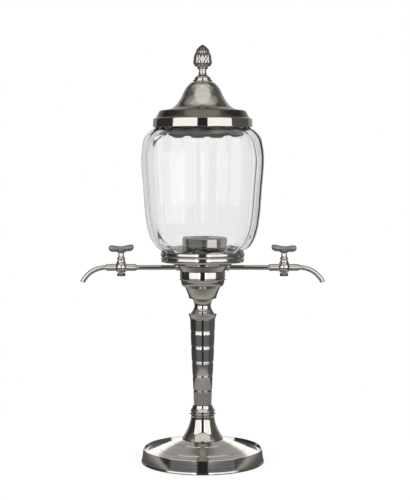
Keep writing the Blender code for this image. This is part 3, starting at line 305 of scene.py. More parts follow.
def cleaned(shape):
    bmesh.ops.remove_doubles(shape, verts=shape.verts, dist=WELD)
    bmesh.ops.dissolve_degenerate(shape, edges=shape.edges, dist=WELD / 2)
    bmesh.ops.recalc_face_normals(shape, faces=shape.faces)
    return shape


def turned_by(shape, degrees, axis):
    bmesh.ops.rotate(shape, verts=shape.verts, matrix=Matrix.Rotation(math.radians(degrees), 3, axis))
    return shape


def moved(shape, x=0.0, y=0.0, z=0.0):
    bmesh.ops.translate(shape, verts=shape.verts, vec=(x * MM, y * MM, z * MM))
    return shape


def along_x(shape, start, z):
    """Lays a shape that stands on its foot along +X from a start."""
    return moved(turned_by(shape, 90.0, "Y"), x=start, z=z)


def ring(outer, inner, height, eases):
    """Outline of a plain ring. Its corners are eased from the outer top one round to the inner one."""
    corners = ((outer, height), (outer, 0.0), (inner, 0.0), (inner, height))
    return [(*corner, ease) for corner, ease in zip(corners, eases)]


def hexagon(across_flats, height):
    """A six-sided prism that stands on its foot."""
    corner = across_flats / math.sqrt(3) * MM
    shape = bmesh.new()
    bmesh.ops.create_cone(
        shape, cap_ends=True, segments=6, radius1=corner, radius2=corner, depth=height * MM
    )
    return moved(shape, z=height / 2)


def linked(name, shape):
    mesh = bpy.data.meshes.new(name)
    shape.to_mesh(mesh)
    shape.free()
    obj = bpy.data.objects.new(name, mesh)
    bpy.context.scene.collection.objects.link(obj)
    return obj


def evaluated(obj):
    bpy.context.view_layer.update()
    graph = bpy.context.evaluated_depsgraph_get()
    mesh = bpy.data.meshes.new_from_object(obj.evaluated_get(graph))
    shape = bmesh.new()
    shape.from_mesh(mesh)
    bpy.data.meshes.remove(mesh)
    return shape


def discard(objects):
    for obj in objects:
        mesh = obj.data
        bpy.data.objects.remove(obj)
        bpy.data.meshes.remove(mesh)


def combined(body, others, operation):
    """Adds other shapes to a body, or takes them away, with exact Booleans."""
    base = linked("boolean_body", body)
    helpers = [linked("boolean_helper", other) for other in others]
    for helper in helpers:
        modifier = base.modifiers.new(helper.name, "BOOLEAN")
        modifier.object = helper
        modifier.operation = operation
        modifier.solver = "EXACT"
    shape = evaluated(base)
    discard([base, *helpers])
    return cleaned(shape)


def added(whole, shape):
    """Adds a shape to another, and frees it."""
    mesh = bpy.data.meshes.new("part")
    shape.to_mesh(mesh)
    shape.free()
    whole.from_mesh(mesh)
    bpy.data.meshes.remove(mesh)


def cast(shapes, voxel, rounds):
    """Melts shapes into one casting, with soft fillets where they meet."""
    whole = bmesh.new()
    for shape in shapes:
        added(whole, shape)
    body = linked("casting", whole)
    remesh = body.modifiers.new("Melt", "REMESH")
    remesh.mode = "VOXEL"
    remesh.voxel_size = voxel * MM
    shape = evaluated(body)
    discard([body])
    for _ in range(rounds):
        bmesh.ops.smooth_vert(
            shape, verts=shape.verts, factor=0.5, use_axis_x=True, use_axis_y=True, use_axis_z=True
        )
    return cleaned(shape)


def finished(name, shape, look, body, slot, *nodes):
    """Makes a shape a named, dressed piece that rides on a body and stands for CAD nodes."""
    piece = linked(name, shape)
    piece.data.shade_smooth()
    piece.data.set_sharp_from_angle(angle=math.radians(SHARP_DEGREES))
    piece.data.materials.append(look)
    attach(piece, body)
    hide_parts(*nodes)
    return piece


def plated(name, shape, body, cad_node, **settings):
    """Finishes a piece in nickel plate."""
    finished(name, shape, nickel(name, **settings), body, "nickel_plate", cad_node)


def foot_of(node):
    """The height of a node's lowest point, in millimetres."""
    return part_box(node)[0].z / MM


def bored(outline, height, bore=ROD_BORE, foot=0.0):
    """The outline with a straight bore from foot to top, its corners eased."""
    return [*outline, (bore, foot, 0.15), (bore, height, 0.15)]


# Materials


def new_tree(name):
    material = bpy.data.materials.new(name)
    material.use_nodes = True
    return material, material.node_tree, material.node_tree.nodes["Principled BSDF"]


def node(tree, kind, inputs=None, **settings):
    """Adds a node, sets it up, and links or sets its inputs."""
    made = tree.nodes.new(kind)
    for key, value in settings.items():
        setattr(made, key, value)
    for key, value in (inputs or {}).items():
        join(tree, value, made.inputs[key])
    return made


def join(tree, value, socket):
    if isinstance(value, bpy.types.NodeSocket):
        tree.links.new(value, socket)
    else:
        socket.default_value = value


def math_node(tree, operation, *values):
    made = tree.nodes.new("ShaderNodeMath")
    made.operation = operation
    for socket, value in zip(made.inputs, values):
        join(tree, value, socket)
    return made.outputs[0]


def times(tree, first, second):
    return math_node(tree, "MULTIPLY", first, second)


def plus(tree, first, second):
    return math_node(tree, "ADD", first, second)


def minus(tree, first, second):
    return math_node(tree, "SUBTRACT", first, second)


def ranged(tree, value, low, high, to_low, to_high, kind="LINEAR"):
    made = node(tree, "ShaderNodeMapRange", interpolation_type=kind, clamp=True)
    for socket, setting in zip(made.inputs, (value, low, high, to_low, to_high)):
        join(tree, setting, socket)
    return made.outputs[0]


def step_up(tree, value, middle, soft):
    return ranged(tree, value, middle - soft, middle + soft, 0.0, 1.0, "SMOOTHSTEP")


def step_down(tree, value, middle, soft):
    return ranged(tree, value, middle - soft, middle + soft, 1.0, 0.0, "SMOOTHSTEP")


def between(tree, value, low, high, soft):
    """One between two values, zero outside, with soft edges."""
    return times(tree, step_up(tree, value, low, soft), step_down(tree, value, high, soft))


def vector_math(tree, operation, inputs, output=0):
    return node(tree, "ShaderNodeVectorMath", inputs, operation=operation).outputs[output]


def shaded(tree, colour, shade):
    return vector_math(tree, "SCALE", {0: colour, "Scale": shade})


def noise(tree, point, scale, detail):
    return node(tree, "ShaderNodeTexNoise", {"Vector": point, "Scale": scale, "Detail": detail}).outputs[0]


def line_noise(tree, line, scale, detail):
    inputs = {"W": line, "Scale": scale, "Detail": detail}
    return node(tree, "ShaderNodeTexNoise", inputs, noise_dimensions="1D").outputs[0]


def bump(tree, height, strength, distance, **below):
    inputs = {"Height": height, "Strength": strength, "Distance": distance, **below}
    return node(tree, "ShaderNodeBump", inputs).outputs[0]


def over(tree, below, above, mask):
    """Lays one colour over another by a mask."""
    made = node(tree, "ShaderNodeMix", data_type="RGBA", clamp_factor=True)
    sockets = [socket for socket in made.inputs if socket.enabled]
    for socket, value in zip(sockets, (mask, below, above)):
        join(tree, value, socket)
    return next(socket for socket in made.outputs if socket.enabled)


def local_point(tree, centre=(0.0, 0.0, 0.0)):
    """Object coordinates from the middle of a piece's own axis."""
    coordinates = node(tree, "ShaderNodeTexCoord").outputs["Object"]
    shift = Vector(centre) * -MM
    return node(tree, "ShaderNodeMapping", {"Vector": coordinates, "Location": shift}).outputs[0]


def lathe_line(tree, point, axis):
    """A coordinate that runs along the outline of a turned piece and is the same all round it."""
    flat = vector_math(tree, "MULTIPLY", {0: point, 1: Vector((1.0, 1.0, 1.0)) - axis})
    radius = vector_math(tree, "LENGTH", {0: flat}, "Value")
    height = vector_math(tree, "DOT_PRODUCT", {0: point, 1: axis}, "Value")
    return math_node(tree, "MULTIPLY_ADD", radius, LINE_SLANT, height)


def metal(
    name, colour, roughness, centre=(0.0, 0.0, 0.0), axis="Z",
    lines=0.05, grain=0.0, dull=0.0, satin=None, stains=(),
):
    """Polished metal with fine tool lines, wiped smudges and small marks.

    Lines run round the axis. Grain above zero adds the soft pitting of a casting, and dull adds a
    satin veil that follows the tool lines. Satin gives the heights or radii between which the finish
    turns from bright to brushed, and how much rougher it is there. Darkened bands multiply the colour
    between two heights: the heights where each starts and ends, and its colour. Several pieces use
    them for painted shade.
    """
    material, tree, shader = new_tree(name)
    point = local_point(tree, centre)
    line = lathe_line(tree, point, Vector((axis == "X", axis == "Y", axis == "Z")))
    fine = line_noise(tree, line, FINE_LINES, 2.0)
    broad = line_noise(tree, line, BROAD_LINES, 3.0)
    smudge = noise(tree, point, SMUDGES, 4.0)
    speck = noise(tree, point, SPECKS, 2.0)

    wiped = ranged(tree, smudge, 0.42, 0.66, 0.0, 0.015)
    worked = ranged(tree, broad, 0.35, 0.7, 0.0, 0.012 + dull)
    rough = plus(tree, roughness, plus(tree, wiped, worked))
    up = node(tree, "ShaderNodeSeparateXYZ", {0: point}).outputs[2]
    if satin:
        measure, start, end, more = satin
        flat = vector_math(tree, "MULTIPLY", {0: point, 1: (1.0, 1.0, 0.0)})
        place = up if measure == "height" else vector_math(tree, "LENGTH", {0: flat}, "Value")
        rough = plus(tree, rough, ranged(tree, place, start * MM, end * MM, 0.0, more))
    tree.links.new(rough, shader.inputs["Roughness"])

    lined = ranged(tree, broad, 0.3, 0.7, 0.955, 1.015)
    tone = plus(tree, lined, ranged(tree, speck, 0.68, 0.8, 0.0, -0.12))
    tint = shaded(tree, colour, times(tree, tone, ranged(tree, smudge, 0.3, 0.7, 1.0, 0.965)))
    # Darkened bands, some of them painted shade, multiply the colour between their heights
    for low, high, stain in stains:
        dark = vector_math(tree, "MULTIPLY", {0: tint, 1: stain})
        tint = over(tree, tint, dark, between(tree, up, low * MM, high * MM, DARK_BAND_EDGE * MM))
    tree.links.new(tint, shader.inputs["Base Color"])
    shader.inputs["Metallic"].default_value = 1.0

    skin = bump(tree, math_node(tree, "MULTIPLY_ADD", broad, 1.6, fine), lines, LINE_DEPTH)
    if grain:
        skin = bump(tree, noise(tree, point, PITS, 3.0), grain, PIT_DEPTH, Normal=skin)
    tree.links.new(skin, shader.inputs["Normal"])
    material.diffuse_color = (*colour, 1.0)
    return material


def nickel(name, **settings):
    finish = bpy.context.scene.fountain_finish
    settings.setdefault("roughness", finish.nickel_roughness)
    return metal(name + "_nickel", finish.nickel_colour, **settings)


def steel(name, **settings):
    finish = bpy.context.scene.fountain_finish
    settings.setdefault("roughness", finish.steel_roughness)
    return metal(name + "_steel", finish.steel_colour, lines=0.6, dull=0.08, **settings)


def glass(name):
    """Clear glass with the faint ripples of a moulding, greyer where it is thick."""
    finish = bpy.context.scene.fountain_finish
    material, tree, shader = new_tree(name + "_glass")
    shader.inputs["Base Color"].default_value = (*finish.glass_colour, 1.0)
    shader.inputs["Transmission Weight"].default_value = 1.0
    shader.inputs["IOR"].default_value = GLASS_IOR
    shader.inputs["Specular IOR Level"].default_value = GLASS_GLOSS
    shader.inputs["Roughness"].default_value = 0.0
    point = local_point(tree)
    stretched = node(tree, "ShaderNodeMapping", {"Vector": point, "Scale": (45.0, 45.0, 14.0)}).outputs[0]
    tree.links.new(bump(tree, noise(tree, stretched, 1.0, 1.0), 0.2, RIPPLE_DEPTH), shader.inputs["Normal"])
    depth = node(tree, "ShaderNodeVolumeAbsorption")
    depth.inputs["Color"].default_value = GLASS_DEEP
    depth.inputs["Density"].default_value = finish.glass_density
    tree.links.new(depth.outputs[0], tree.nodes["Material Output"].inputs["Volume"])
    return material


def rubber(name):
    """Matt black rubber with a pale bloom and fine pores."""
    material, tree, shader = new_tree(name + "_rubber")
    point = local_point(tree)
    bloom = noise(tree, point, 160.0, 4.0)
    colour = bpy.context.scene.fountain_finish.rubber_colour
    tint = shaded(tree, colour, ranged(tree, bloom, 0.3, 0.7, 0.8, 1.25))
    tree.links.new(tint, shader.inputs["Base Color"])
    tree.links.new(ranged(tree, bloom, 0.3, 0.7, 0.55, 0.75), shader.inputs["Roughness"])
    tree.links.new(bump(tree, noise(tree, point, PORES, 2.0), 0.3, PORE_DEPTH), shader.inputs["Normal"])
    return material


# Outlines of the turned pieces


def dish_height(share):
    """Height of the base's dished top at a share of the way from the stem to the rim."""
    return 12.8 + 16.9 * (1 - share) ** (1 + 0.66 * share)


def base_outline():
    """The dish with its two fine ledges, the rim, the leaning band, the foot bead and the hollow."""
    inner, outer = 27.7, 73.4
    top = [(inner, 29.7)]
    ledges = [mix(inner, outer, share) for share in (0.215, 0.595)]
    places = {mix(inner, outer, step / 44) for step in range(1, 44)}
    places = {place for place in places if all(abs(place - ledge) > 0.9 for ledge in ledges)}
    for ledge in ledges:
        places |= {ledge - 0.7, ledge - 0.2, ledge, ledge + 0.2, ledge + 0.7}
    for place in sorted(places):
        lift = 0.0
        for ledge in ledges:
            if ledge - 5.0 < place < ledge:
                lift = 0.13 * ((place - ledge + 5.0) / 5.0) ** 2
            elif place == ledge:
                lift = -0.3
        top.append((place, dish_height((place - inner) / (outer - inner)) + lift))
    rim = [(73.4, 12.8, 0.8), (74.95, 17.4, 0.35), (75.8, 17.4, 0.35)]
    band = [(77.8, 2.5, 0.3)] + bead((77.9, 2.3), (78.3, 0.0), 0.35, 5)[1:-1]
    foot = [(78.6, 0.6), (78.5, 0.0, 0.1), (76.2, 0.0, 0.2), (74.0, 9.6, 0.8)]
    under = [
        (mix(inner, outer, step / 20), dish_height(step / 20) - 2.0) for step in range(19, -1, -1)
    ]
    return [(ROD_BORE, 29.7), (26.6, 29.7)] + top + rim + band + foot + under + [(ROD_BORE, 27.7)]


def trumpet_outline():
    outer = flare((15.1, 30.1), (26.5, 0.9), 30)
    outer[0] = rounded(outer[0], 0.25)
    outer[-1] = rounded(outer[-1], 0.25)
    inner = flare((12.7, 25.1), (24.1, 0.0), 16)[::-1]
    return outer + [(26.5, 0.0, 0.15)] + inner + [(ROD_BORE, 25.1), (ROD_BORE, 30.1)]


def foot_ring_outline():
    outer = [
        (14.9, 4.5, 0.15), (15.5, 3.6, 0.3), (17.1, 2.95, 0.2), (17.5, 2.6, 0.2), (17.5, 1.9, 0.2),
        (17.1, 1.55, 0.2), (15.5, 0.9, 0.3), (14.9, 0.0, 0.15),
    ]
    return bored(outer, 4.5)


def skirt_outline():
    outer = flare((12.5, 7.9), (16.0, 0.6), 18, 1.5)
    outer[0] = rounded(outer[0], 0.2)
    outer[-1] = rounded(outer[-1], 0.2)
    return bored(outer + [(16.0, 0.0, 0.2)], 7.9)


def column_radius(share):
    """The column's radius at a share of its height: it swells a little faster in the middle."""
    eased = (share + share**2 * (3 - 2 * share)) / 2
    return mix(COLUMN_FOOT, COLUMN_TOP, eased)


def column_outline():
    """A tapered column whose bands are fine fillets that lean back between sharp grooves."""
    outer = [(COLUMN_TOP, COLUMN_HEIGHT, 0.25)]
    for share, fillets in zip(COLUMN_BANDS, BAND_FILLETS):
        level = share * COLUMN_HEIGHT + BAND_HEIGHT / 2
        outer += plain_run(outer[-1][1], level)
        outer += [(column_radius(level / COLUMN_HEIGHT), level, 0.1)]
        for height in fillets:
            radius = column_radius(level / COLUMN_HEIGHT) - 0.05
            outer += [(radius - 0.4, level - 0.15, 0.1), (radius - 0.4, level - 0.4, 0.1)]
            level -= 0.55
            outer += bead((radius - 0.09 * height, level), (radius, level - height), 0.012 * height)
            level -= height
        outer += [(radius - 0.4, level - 0.15, 0.1), (radius - 0.4, level - 0.4, 0.1)]
        outer += [(column_radius((level - 0.55) / COLUMN_HEIGHT), level - 0.55, 0.1)]
    outer += plain_run(outer[-1][1], 0.0)
    outer.append((COLUMN_FOOT, 0.0, 0.2))
    return bored(outer, COLUMN_HEIGHT)


def plain_run(high, low):
    """Points down a plain stretch of the column."""
    heights = [mix(high, low, share) for share in (0.12, 0.3, 0.5, 0.7, 0.88)]
    return [(column_radius(height / COLUMN_HEIGHT), height) for height in heights]


def capital_outline():
    cove = smooth([(18.25, 6.1), (17.7, 4.6), (17.1, 2.8), (16.6, 1.2), (16.4, 0.3)], 4)
    return bored([(17.9, 7.3, 0.25), (18.35, 6.8, 0.2)] + cove + [(16.4, 0.0, 0.1)], 7.3)


def neck_outline():
    """A spool: two trumpet curves that meet at the throat."""
    throat = (10.7, 18.1 * 0.52)
    upper = flare(throat, (13.7, 18.1), 16)
    lower = flare(throat, (15.6, 0.0), 16)
    upper[-1] = rounded(upper[-1], 0.25)
    lower[-1] = rounded(lower[-1], 0.25)
    return bored(upper[:0:-1] + lower, 18.1)


def bowl_outline():
    """The cup: flange, drum, rounded shoulder and flared foot outside, a stepped well inside."""
    outer = [(29.6, 26.0, 0.2), (31.3, 25.5, 0.2), (31.2, 24.6, 0.2), (28.9, 24.2, 0.3)]
    shoulder = smooth(
        [(28.7, 24.0), (28.0, 21.6), (27.5, 19.2), (26.8, 17.3), (25.6, 15.9), (23.8, 14.7), (22.5, 13.6)], 4
    )
    foot = flare((17.7, 0.0), (22.4, 13.3), 16, 1.3)[::-1]
    foot[-1] = rounded(foot[-1], 0.25)
    inner = [
        (ROD_BORE, 0.0, 0.1), (ROD_BORE, 6.0, 0.1), (14.6, 6.0, 0.5), (14.6, 13.2, 0.5), (24.5, 17.4, 0.5),
        (24.5, 26.0, 0.2),
    ]
    return outer + shoulder + foot + inner


def hub_outline():
    return [
        (29.3, 8.3, 0.3), (29.3, 0.0, 0.3), (24.2, 0.0, 0.1), (24.2, -5.0, 0.3), (20.6, -5.0, 0.2),
        (20.6, 8.3, 0.2),
    ]


def manifold_outline():
    """Raised seat with the stem's well, plate with a cone under it, and the spigot that enters the hub."""
    cone = [(37.3, 8.3, 0.2), (33.0, 6.5, 0.8), (29.3, 0.0, 0.2)]
    return [
        (0.0, 1.5), (5.0, 1.5, 0.2), (5.0, 6.6, 0.1), (12.3, 6.6, 0.2), (12.3, 13.8, 0.2), (19.7, 13.8, 0.3),
        (19.7, 9.2, 0.2), (37.3, 9.2, 0.2), *cone, (20.3, 0.0, 0.1), (20.3, -5.5, 0.3), (0.0, -5.5),
    ]


def jar_outside():
    """The jar's outer side at the crests of its flutes, from the rim down to the foot."""
    neck = [(JAR_NECK, JAR_HEIGHT), (JAR_NECK, JAR_HEIGHT - 3.0)]
    upper = scaled(JAR_UPPER, (JAR_NECK, JAR_BELLY), (JAR_RADIUS, JAR_SHOULDER))
    lower = scaled(JAR_LOWER, (JAR_FOOT, 0.0), (JAR_RADIUS, JAR_BELLY))
    return neck, upper + lower


def collar_outline():
    """A dish with two beads round its band, open in the middle for the seat under it."""
    height = 14.9
    jar_foot = foot_of("jar") - foot_of("collar")
    mouth = radius_at(jar_outside()[1], height - jar_foot) + 0.7
    lip = mouth + 1.2
    foot = lip - 1.0
    middle = (mix(foot, lip, 0.5), mix(2.2, height, 0.5))
    upper = bead((lip, height - 0.2), (middle[0], middle[1] + 0.2), 0.7, 14)
    lower = bead((middle[0], middle[1] - 0.2), (foot, 2.2), 0.7, 14)
    upper[0] = rounded(upper[0], 0.15)
    return [
        (mouth + 0.1, height, 0.3), *upper, *lower, (37.3, 0.0, 0.3), (20.0, 0.0, 0.2), (20.0, 4.3, 0.2),
        (foot - 1.2, 4.3, 1.0),
    ]


def offset(points, wall):
    """A smooth outline moved into the solid by the wall."""
    moved_points = []
    for index, (radius, height) in enumerate(points):
        before = points[max(index - 1, 0)]
        after = points[min(index + 1, len(points) - 1)]
        across, up = after[0] - before[0], after[1] - before[1]
        length = math.hypot(across, up)
        moved_points.append((radius + up / length * wall, height - across / length * wall))
    return moved_points


def jar_outline(wall):
    neck, curve = jar_outside()
    outer = smooth(neck[1:] + curve, 6)
    inner = [p for p in offset(outer, wall) if JAR_FLOOR + 1.2 < p[1] < JAR_HEIGHT - 3.5]
    lip = quarter((JAR_NECK - wall / 2, JAR_HEIGHT), (JAR_NECK, JAR_HEIGHT - 1.4), 8)
    mouth = quarter((JAR_NECK - wall / 2, JAR_HEIGHT), (JAR_NECK - wall, JAR_HEIGHT - 1.4), 8)[::-1]
    floor = [
        (STEM_BORE, 0.0, 0.3), (STEM_BORE, JAR_FLOOR, 0.3), (JAR_FOOT - 6.0, JAR_FLOOR),
        (JAR_FOOT - 1.0, JAR_FLOOR + 0.25),
    ]
    return lip + outer + floor + inner[::-1] + mouth[:-1]


def fluted(shape, wall):
    """Presses the jar's upright flutes in: deepest on the belly, gone at the foot and the neck."""
    sizes = bpy.context.scene.fountain_sizes
    foot = foot_of("jar")
    outer = smooth(jar_outside()[1], 6)
    turn = math.radians(sizes.flute_turn)
    start, end, more = FLUTE_DEEPENS
    for vert in shape.verts:
        radius = math.hypot(vert.co.x, vert.co.y) / MM
        height = vert.co.z / MM - foot
        fade = max(0.0, min(1.0, height / FLUTE_FADE_IN, (FLUTE_TOP - height) / FLUTE_FADE_OUT))
        fade = fade * fade * (3 - 2 * fade)
        if radius < JAR_FOOT or fade == 0:
            continue
        inside = radius_at(outer, height) - radius > wall / 2
        depth = (sizes.flute_depth_inside if inside else sizes.flute_depth) / MM
        angle = math.atan2(vert.co.y, vert.co.x) - turn
        crest = abs(math.sin(sizes.flutes * angle / 2))
        soft = sizes.flute_softness
        groove = 1 - (math.sqrt(crest * crest + soft * soft) - soft) / (math.sqrt(1 + soft * soft) - soft)
        deeper = 1 + more * max(0.0, min(1.0, (height - start) / (end - start)))
        vert.co.xy *= 1 - depth * deeper * fade * groove / radius
    return shape


def lid_outline():
    """Bell with two scribed lines, ledge, step and band, and the same form inside one wall in."""
    bell = smooth(scaled(LID_BELL, (13.0, 25.0), (37.0, LID_HEIGHT)), 8)
    ledge = [(42.0, 22.9), (48.0, 21.9), (52.5, 21.4)]
    outer = bell + ledge + [(54.6, 20.6, 0.9), (58.0, 13.9, 0.7), (59.6, 11.5, 0.6)]
    scribed = []
    for point, after in zip(outer, outer[1:] + outer[-1:]):
        scribed.append(point)
        for line in LID_LINES:
            if after[1] < line <= point[1]:
                for height, depth in ((line + 0.3, 0.0), (line, 0.09), (line - 0.3, 0.0)):
                    scribed.append((radius_at(outer, height) - depth, height))
    band = [(LID_RADIUS - 0.6, 11.0, 0.5), (LID_RADIUS - 0.3, 10.2, 0.3), (LID_RADIUS + 0.7, 0.0, 0.4)]
    inner = offset([p[:2] for p in outer[2::2]] + [(59.6, 11.0)], 1.5)
    inner_band = [(LID_RADIUS - 1.5, 0.0, 0.3), (LID_RADIUS - 1.5, 9.5, 0.5)]
    top = [(STUD_BORE, LID_HEIGHT), (12.2, LID_HEIGHT, 0.3)]
    crown = [(STUD_BORE, LID_HEIGHT - 1.5)]
    return top + scribed + band + inner_band + inner[::-1] + crown


def liner_outline():
    return [
        (61.3, 1.2, 0.2), (61.3, 0.0, 0.2), (54.4, 0.0, 0.2), (52.2, -16.5, 0.3), (51.0, -16.5, 0.3),
        (53.2, 1.2, 0.4),
    ]


def finial_base_outline():
    cove = smooth([(4.9, 13.0), (4.8, 11.7), (5.3, 9.4), (6.4, 7.9), (7.6, 6.9), (8.0, 6.6)], 5)
    cove[0] = rounded(cove[0], 0.15)
    cove += smooth([(8.1, 6.55), (9.1, 6.0), (9.9, 5.0), (10.3, 3.8), (10.5, 2.4)], 5)
    foot = bead((11.9, 2.2), (12.1, 0.2), 0.4, 8)
    return bored(cove + foot, 13.0, STUD_BORE)


def tap_body_outline():
    """Bell and ball of the tap, from the bell's top down."""
    cove = flare((5.2, BELL_TOP), (6.9, 4.9), 12)
    cove[0] = rounded(cove[0], 0.25)
    start = math.asin(4.6 / BALL_RADIUS)
    end = -math.asin(BALL_CUT / BALL_RADIUS)
    turns = [mix(start, end, step / 28) for step in range(29)]
    ball = [(BALL_RADIUS * math.cos(t), BALL_RADIUS * math.sin(t)) for t in turns]
    ball[-1] = rounded(ball[-1], 0.3)
    return [(0.0, BELL_TOP), *cove, *ball, (0.0, -BALL_CUT)]


def waterway(reach, inlet, outlet, overrun=1.0):
    """A cutter for a water bore with a tube socket at both of its ends."""
    end = reach + overrun
    floor = reach - SOCKET
    return spun(
        [
            (0.0, end), (outlet + GAP, end), (outlet + GAP, floor), (WATER_BORE, floor),
            (WATER_BORE, -floor), (inlet + GAP, -floor), (inlet + GAP, -end), (0.0, -end),
        ],
        SMALL // 2,
    )


def tap_key_outline():
    """Plug, round flange, neck and spigot above, and threaded tail below."""
    flange = BELL_TOP + GAP
    neck = flange + 3.2
    top = neck + 5.4
    tail = -BALL_CUT + GAP
    end = tail - 5.1
    thread = [
        (1.9 - 0.3 * (step % 2), mix(tail - 1.8, end, step / 12)) for step in range(13)
    ]
    return [
        (0.0, top + 3.0), (2.4, top + 3.0, 0.3), (2.4, top, 0.1), (3.7, top, 0.2), (3.65, top - 2.4),
        (3.9, neck + 1.0), (4.5, neck + 0.1, 0.2),
        *bead((4.7, neck - 0.1), (4.7, flange + 0.1), 0.85, 14),
        (3.9, flange, 0.1), (3.2, tail, 0.2), (1.9, tail, 0.1), *thread, (0.0, end),
    ]


class FountainSizes(bpy.types.PropertyGroup):
    """Sizes of the dressed pieces that the solids leave open."""

    flutes: IntProperty(name="Flutes", description="Upright flutes round the jar", default=16, min=6, max=40)
    flute_depth: FloatProperty(
        name="Flute depth", description="Depth of a flute outside", default=0.0019, unit="LENGTH", precision=5
    )
    flute_depth_inside: FloatProperty(
        name="Inner flute depth", description="Depth of a flute inside",
        default=0.0013, unit="LENGTH", precision=5
    )
    flute_softness: FloatProperty(
        name="Flute softness", description="How round the valley between two flutes is",
        default=0.18, subtype="FACTOR"
    )
    flute_turn: FloatProperty(
        name="Flute turn", description="Turn of the flutes about the axis, in degrees", default=5.6
    )
    jar_wall: FloatProperty(
        name="Jar wall", description="Thickness of the glass", default=0.003, unit="LENGTH", precision=5
    )
    leaves: IntProperty(name="Leaves", description="Leaves in each row of the bud", default=8, min=5, max=14)
    leaf_thickness: FloatProperty(
        name="Leaf thickness", description="Thickness of a leaf of the bud",
        default=0.00055, unit="LENGTH", precision=5
    )


class FountainFinish(bpy.types.PropertyGroup):
    """Colours and surface values of the finishes."""

    nickel_colour: FloatVectorProperty(
        name="Nickel", description="Colour of the nickel plate", default=(0.6, 0.58, 0.545), subtype="COLOR"
    )
    nickel_roughness: FloatProperty(
        name="Nickel roughness", description="Roughness of the polished plate",
        default=0.045, subtype="FACTOR"
    )
    steel_colour: FloatVectorProperty(
        name="Steel", description="Colour of the hidden hardware", default=(0.5, 0.5, 0.5), subtype="COLOR"
    )
    steel_roughness: FloatProperty(
        name="Steel roughness", description="Roughness of the hidden hardware", default=0.3, subtype="FACTOR"
    )
    glass_colour: FloatVectorProperty(
        name="Glass", description="Colour of the glass's surface",
        default=(0.964, 0.964, 0.965), subtype="COLOR"
    )
    glass_density: FloatProperty(
        name="Glass density", description="How fast thick glass turns grey, per metre", default=14.0
    )
    rubber_colour: FloatVectorProperty(
        name="Rubber", description="Colour of the rubber rings",
        default=(0.035, 0.033, 0.031), subtype="COLOR"
    )
    floor_colour: FloatVectorProperty(
        name="Floor", description="Colour of the studio floor", default=(0.44, 0.43, 0.41), subtype="COLOR"
    )


class FountainStudio(bpy.types.PropertyGroup):
    """The plain studio round the fountain."""

    floor_radius: FloatProperty(
        name="Floor radius", description="Radius of the round table top", default=0.46, unit="LENGTH"
    )
    panel_level: FloatProperty(
        name="Panel level", description="Brightness of the two front panels, where 1 is white", default=1.5
    )
    card_level: FloatProperty(
        name="Card level", description="Brightness of the white card behind, where 1 is white", default=1.1
    )
    daylight: FloatProperty(
        name="Daylight", description="Brightness of the soft light from all round", default=0.85
    )


class DressBase(bpy.types.Operator):
    """Models the spun dish foot"""

    bl_idname = "fountain.dress_base"
    bl_label = "Base"

    def execute(self, context):
        shape = spun(base_outline(), WIDE, foot_of("base"))
        plated("base_dish", shape, "stand", "base", lines=0.1, dull=0.01, satin=("radius", 73.6, 72.6, 0.11))
        return {"FINISHED"}


class DressStem(bpy.types.Operator):
    """Models the turned pieces between the base and the hub"""

    bl_idname = "fountain.dress_stem"
    bl_label = "Stem"

    def execute(self, context):
        pieces = (
            ("stem_trumpet", "foot_trumpet", trumpet_outline(), BROAD),
            ("stem_disc", "foot_ring", foot_ring_outline(), SLIM),
            ("stem_skirt", "column_skirt", skirt_outline(), SLIM),
            ("stem_column", "column", column_outline(), SLIM),
            ("stem_capital", "capital_ring", capital_outline(), SLIM),
            ("stem_neck", "neck", neck_outline(), SLIM),
            ("stem_bowl", "bowl", bowl_outline(), BROAD),
        )
        for name, cad_node, outline, sides in pieces:
            foot = foot_of(cad_node)
            # The column gets painted shade that darkens it towards its foot
            shades = COLUMN_PAINTED_SHADE if cad_node == "column" else ()
            stains = [(foot - 5.0, foot + height, shade) for height, shade in shades]
            plated(name, spun(outline, sides, foot), "stand", cad_node, stains=stains)
        return {"FINISHED"}


class DressWaterBlock(bpy.types.Operator):
    """Models the hub drum and the water block with its side bosses"""

    bl_idname = "fountain.dress_water_block"
    bl_label = "Hub and water block"

    def execute(self, context):
        drum_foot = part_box("hub")[1].z / MM - 8.3
        drum = spun(hub_outline(), BROAD, drum_foot)
        plated("water_hub", drum, "stand", "hub")
        block_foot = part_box("manifold")[1].z / MM - 13.8
        block = spun(manifold_outline(), BROAD, block_foot)
        bar = spun([(0.0, 67.2), (4.1, 67.2, 0.4), (4.1, 0.0, 0.4), (0.0, 0.0)], SMALL)
        block = combined(block, [along_x(bar, -33.6, TAP_AXIS)], "UNION")
        way = waterway(33.6, PIPE_RADIUS, PIPE_RADIUS, 5.0)
        block = combined(block, [along_x(way, 0.0, TAP_AXIS)], "DIFFERENCE")
        plated("water_block", block, "stand", "manifold")
        return {"FINISHED"}


class DressJar(bpy.types.Operator):
    """Models the fluted glass jar and the collar that holds its foot"""

    bl_idname = "fountain.dress_jar"
    bl_label = "Jar and collar"

    def execute(self, context):
        collar = spun(collar_outline(), WIDE, foot_of("collar"))
        plated("jar_collar", collar, "stand", "collar", roughness=0.11)
        sizes = context.scene.fountain_sizes
        wall = sizes.jar_wall / MM
        jar = fluted(spun(jar_outline(wall), sizes.flutes * FLUTE_FACETS, foot_of("jar")), wall)
        finished("jar_glass", jar, glass("jar"), "stand", "clear_glass", "jar")
        return {"FINISHED"}


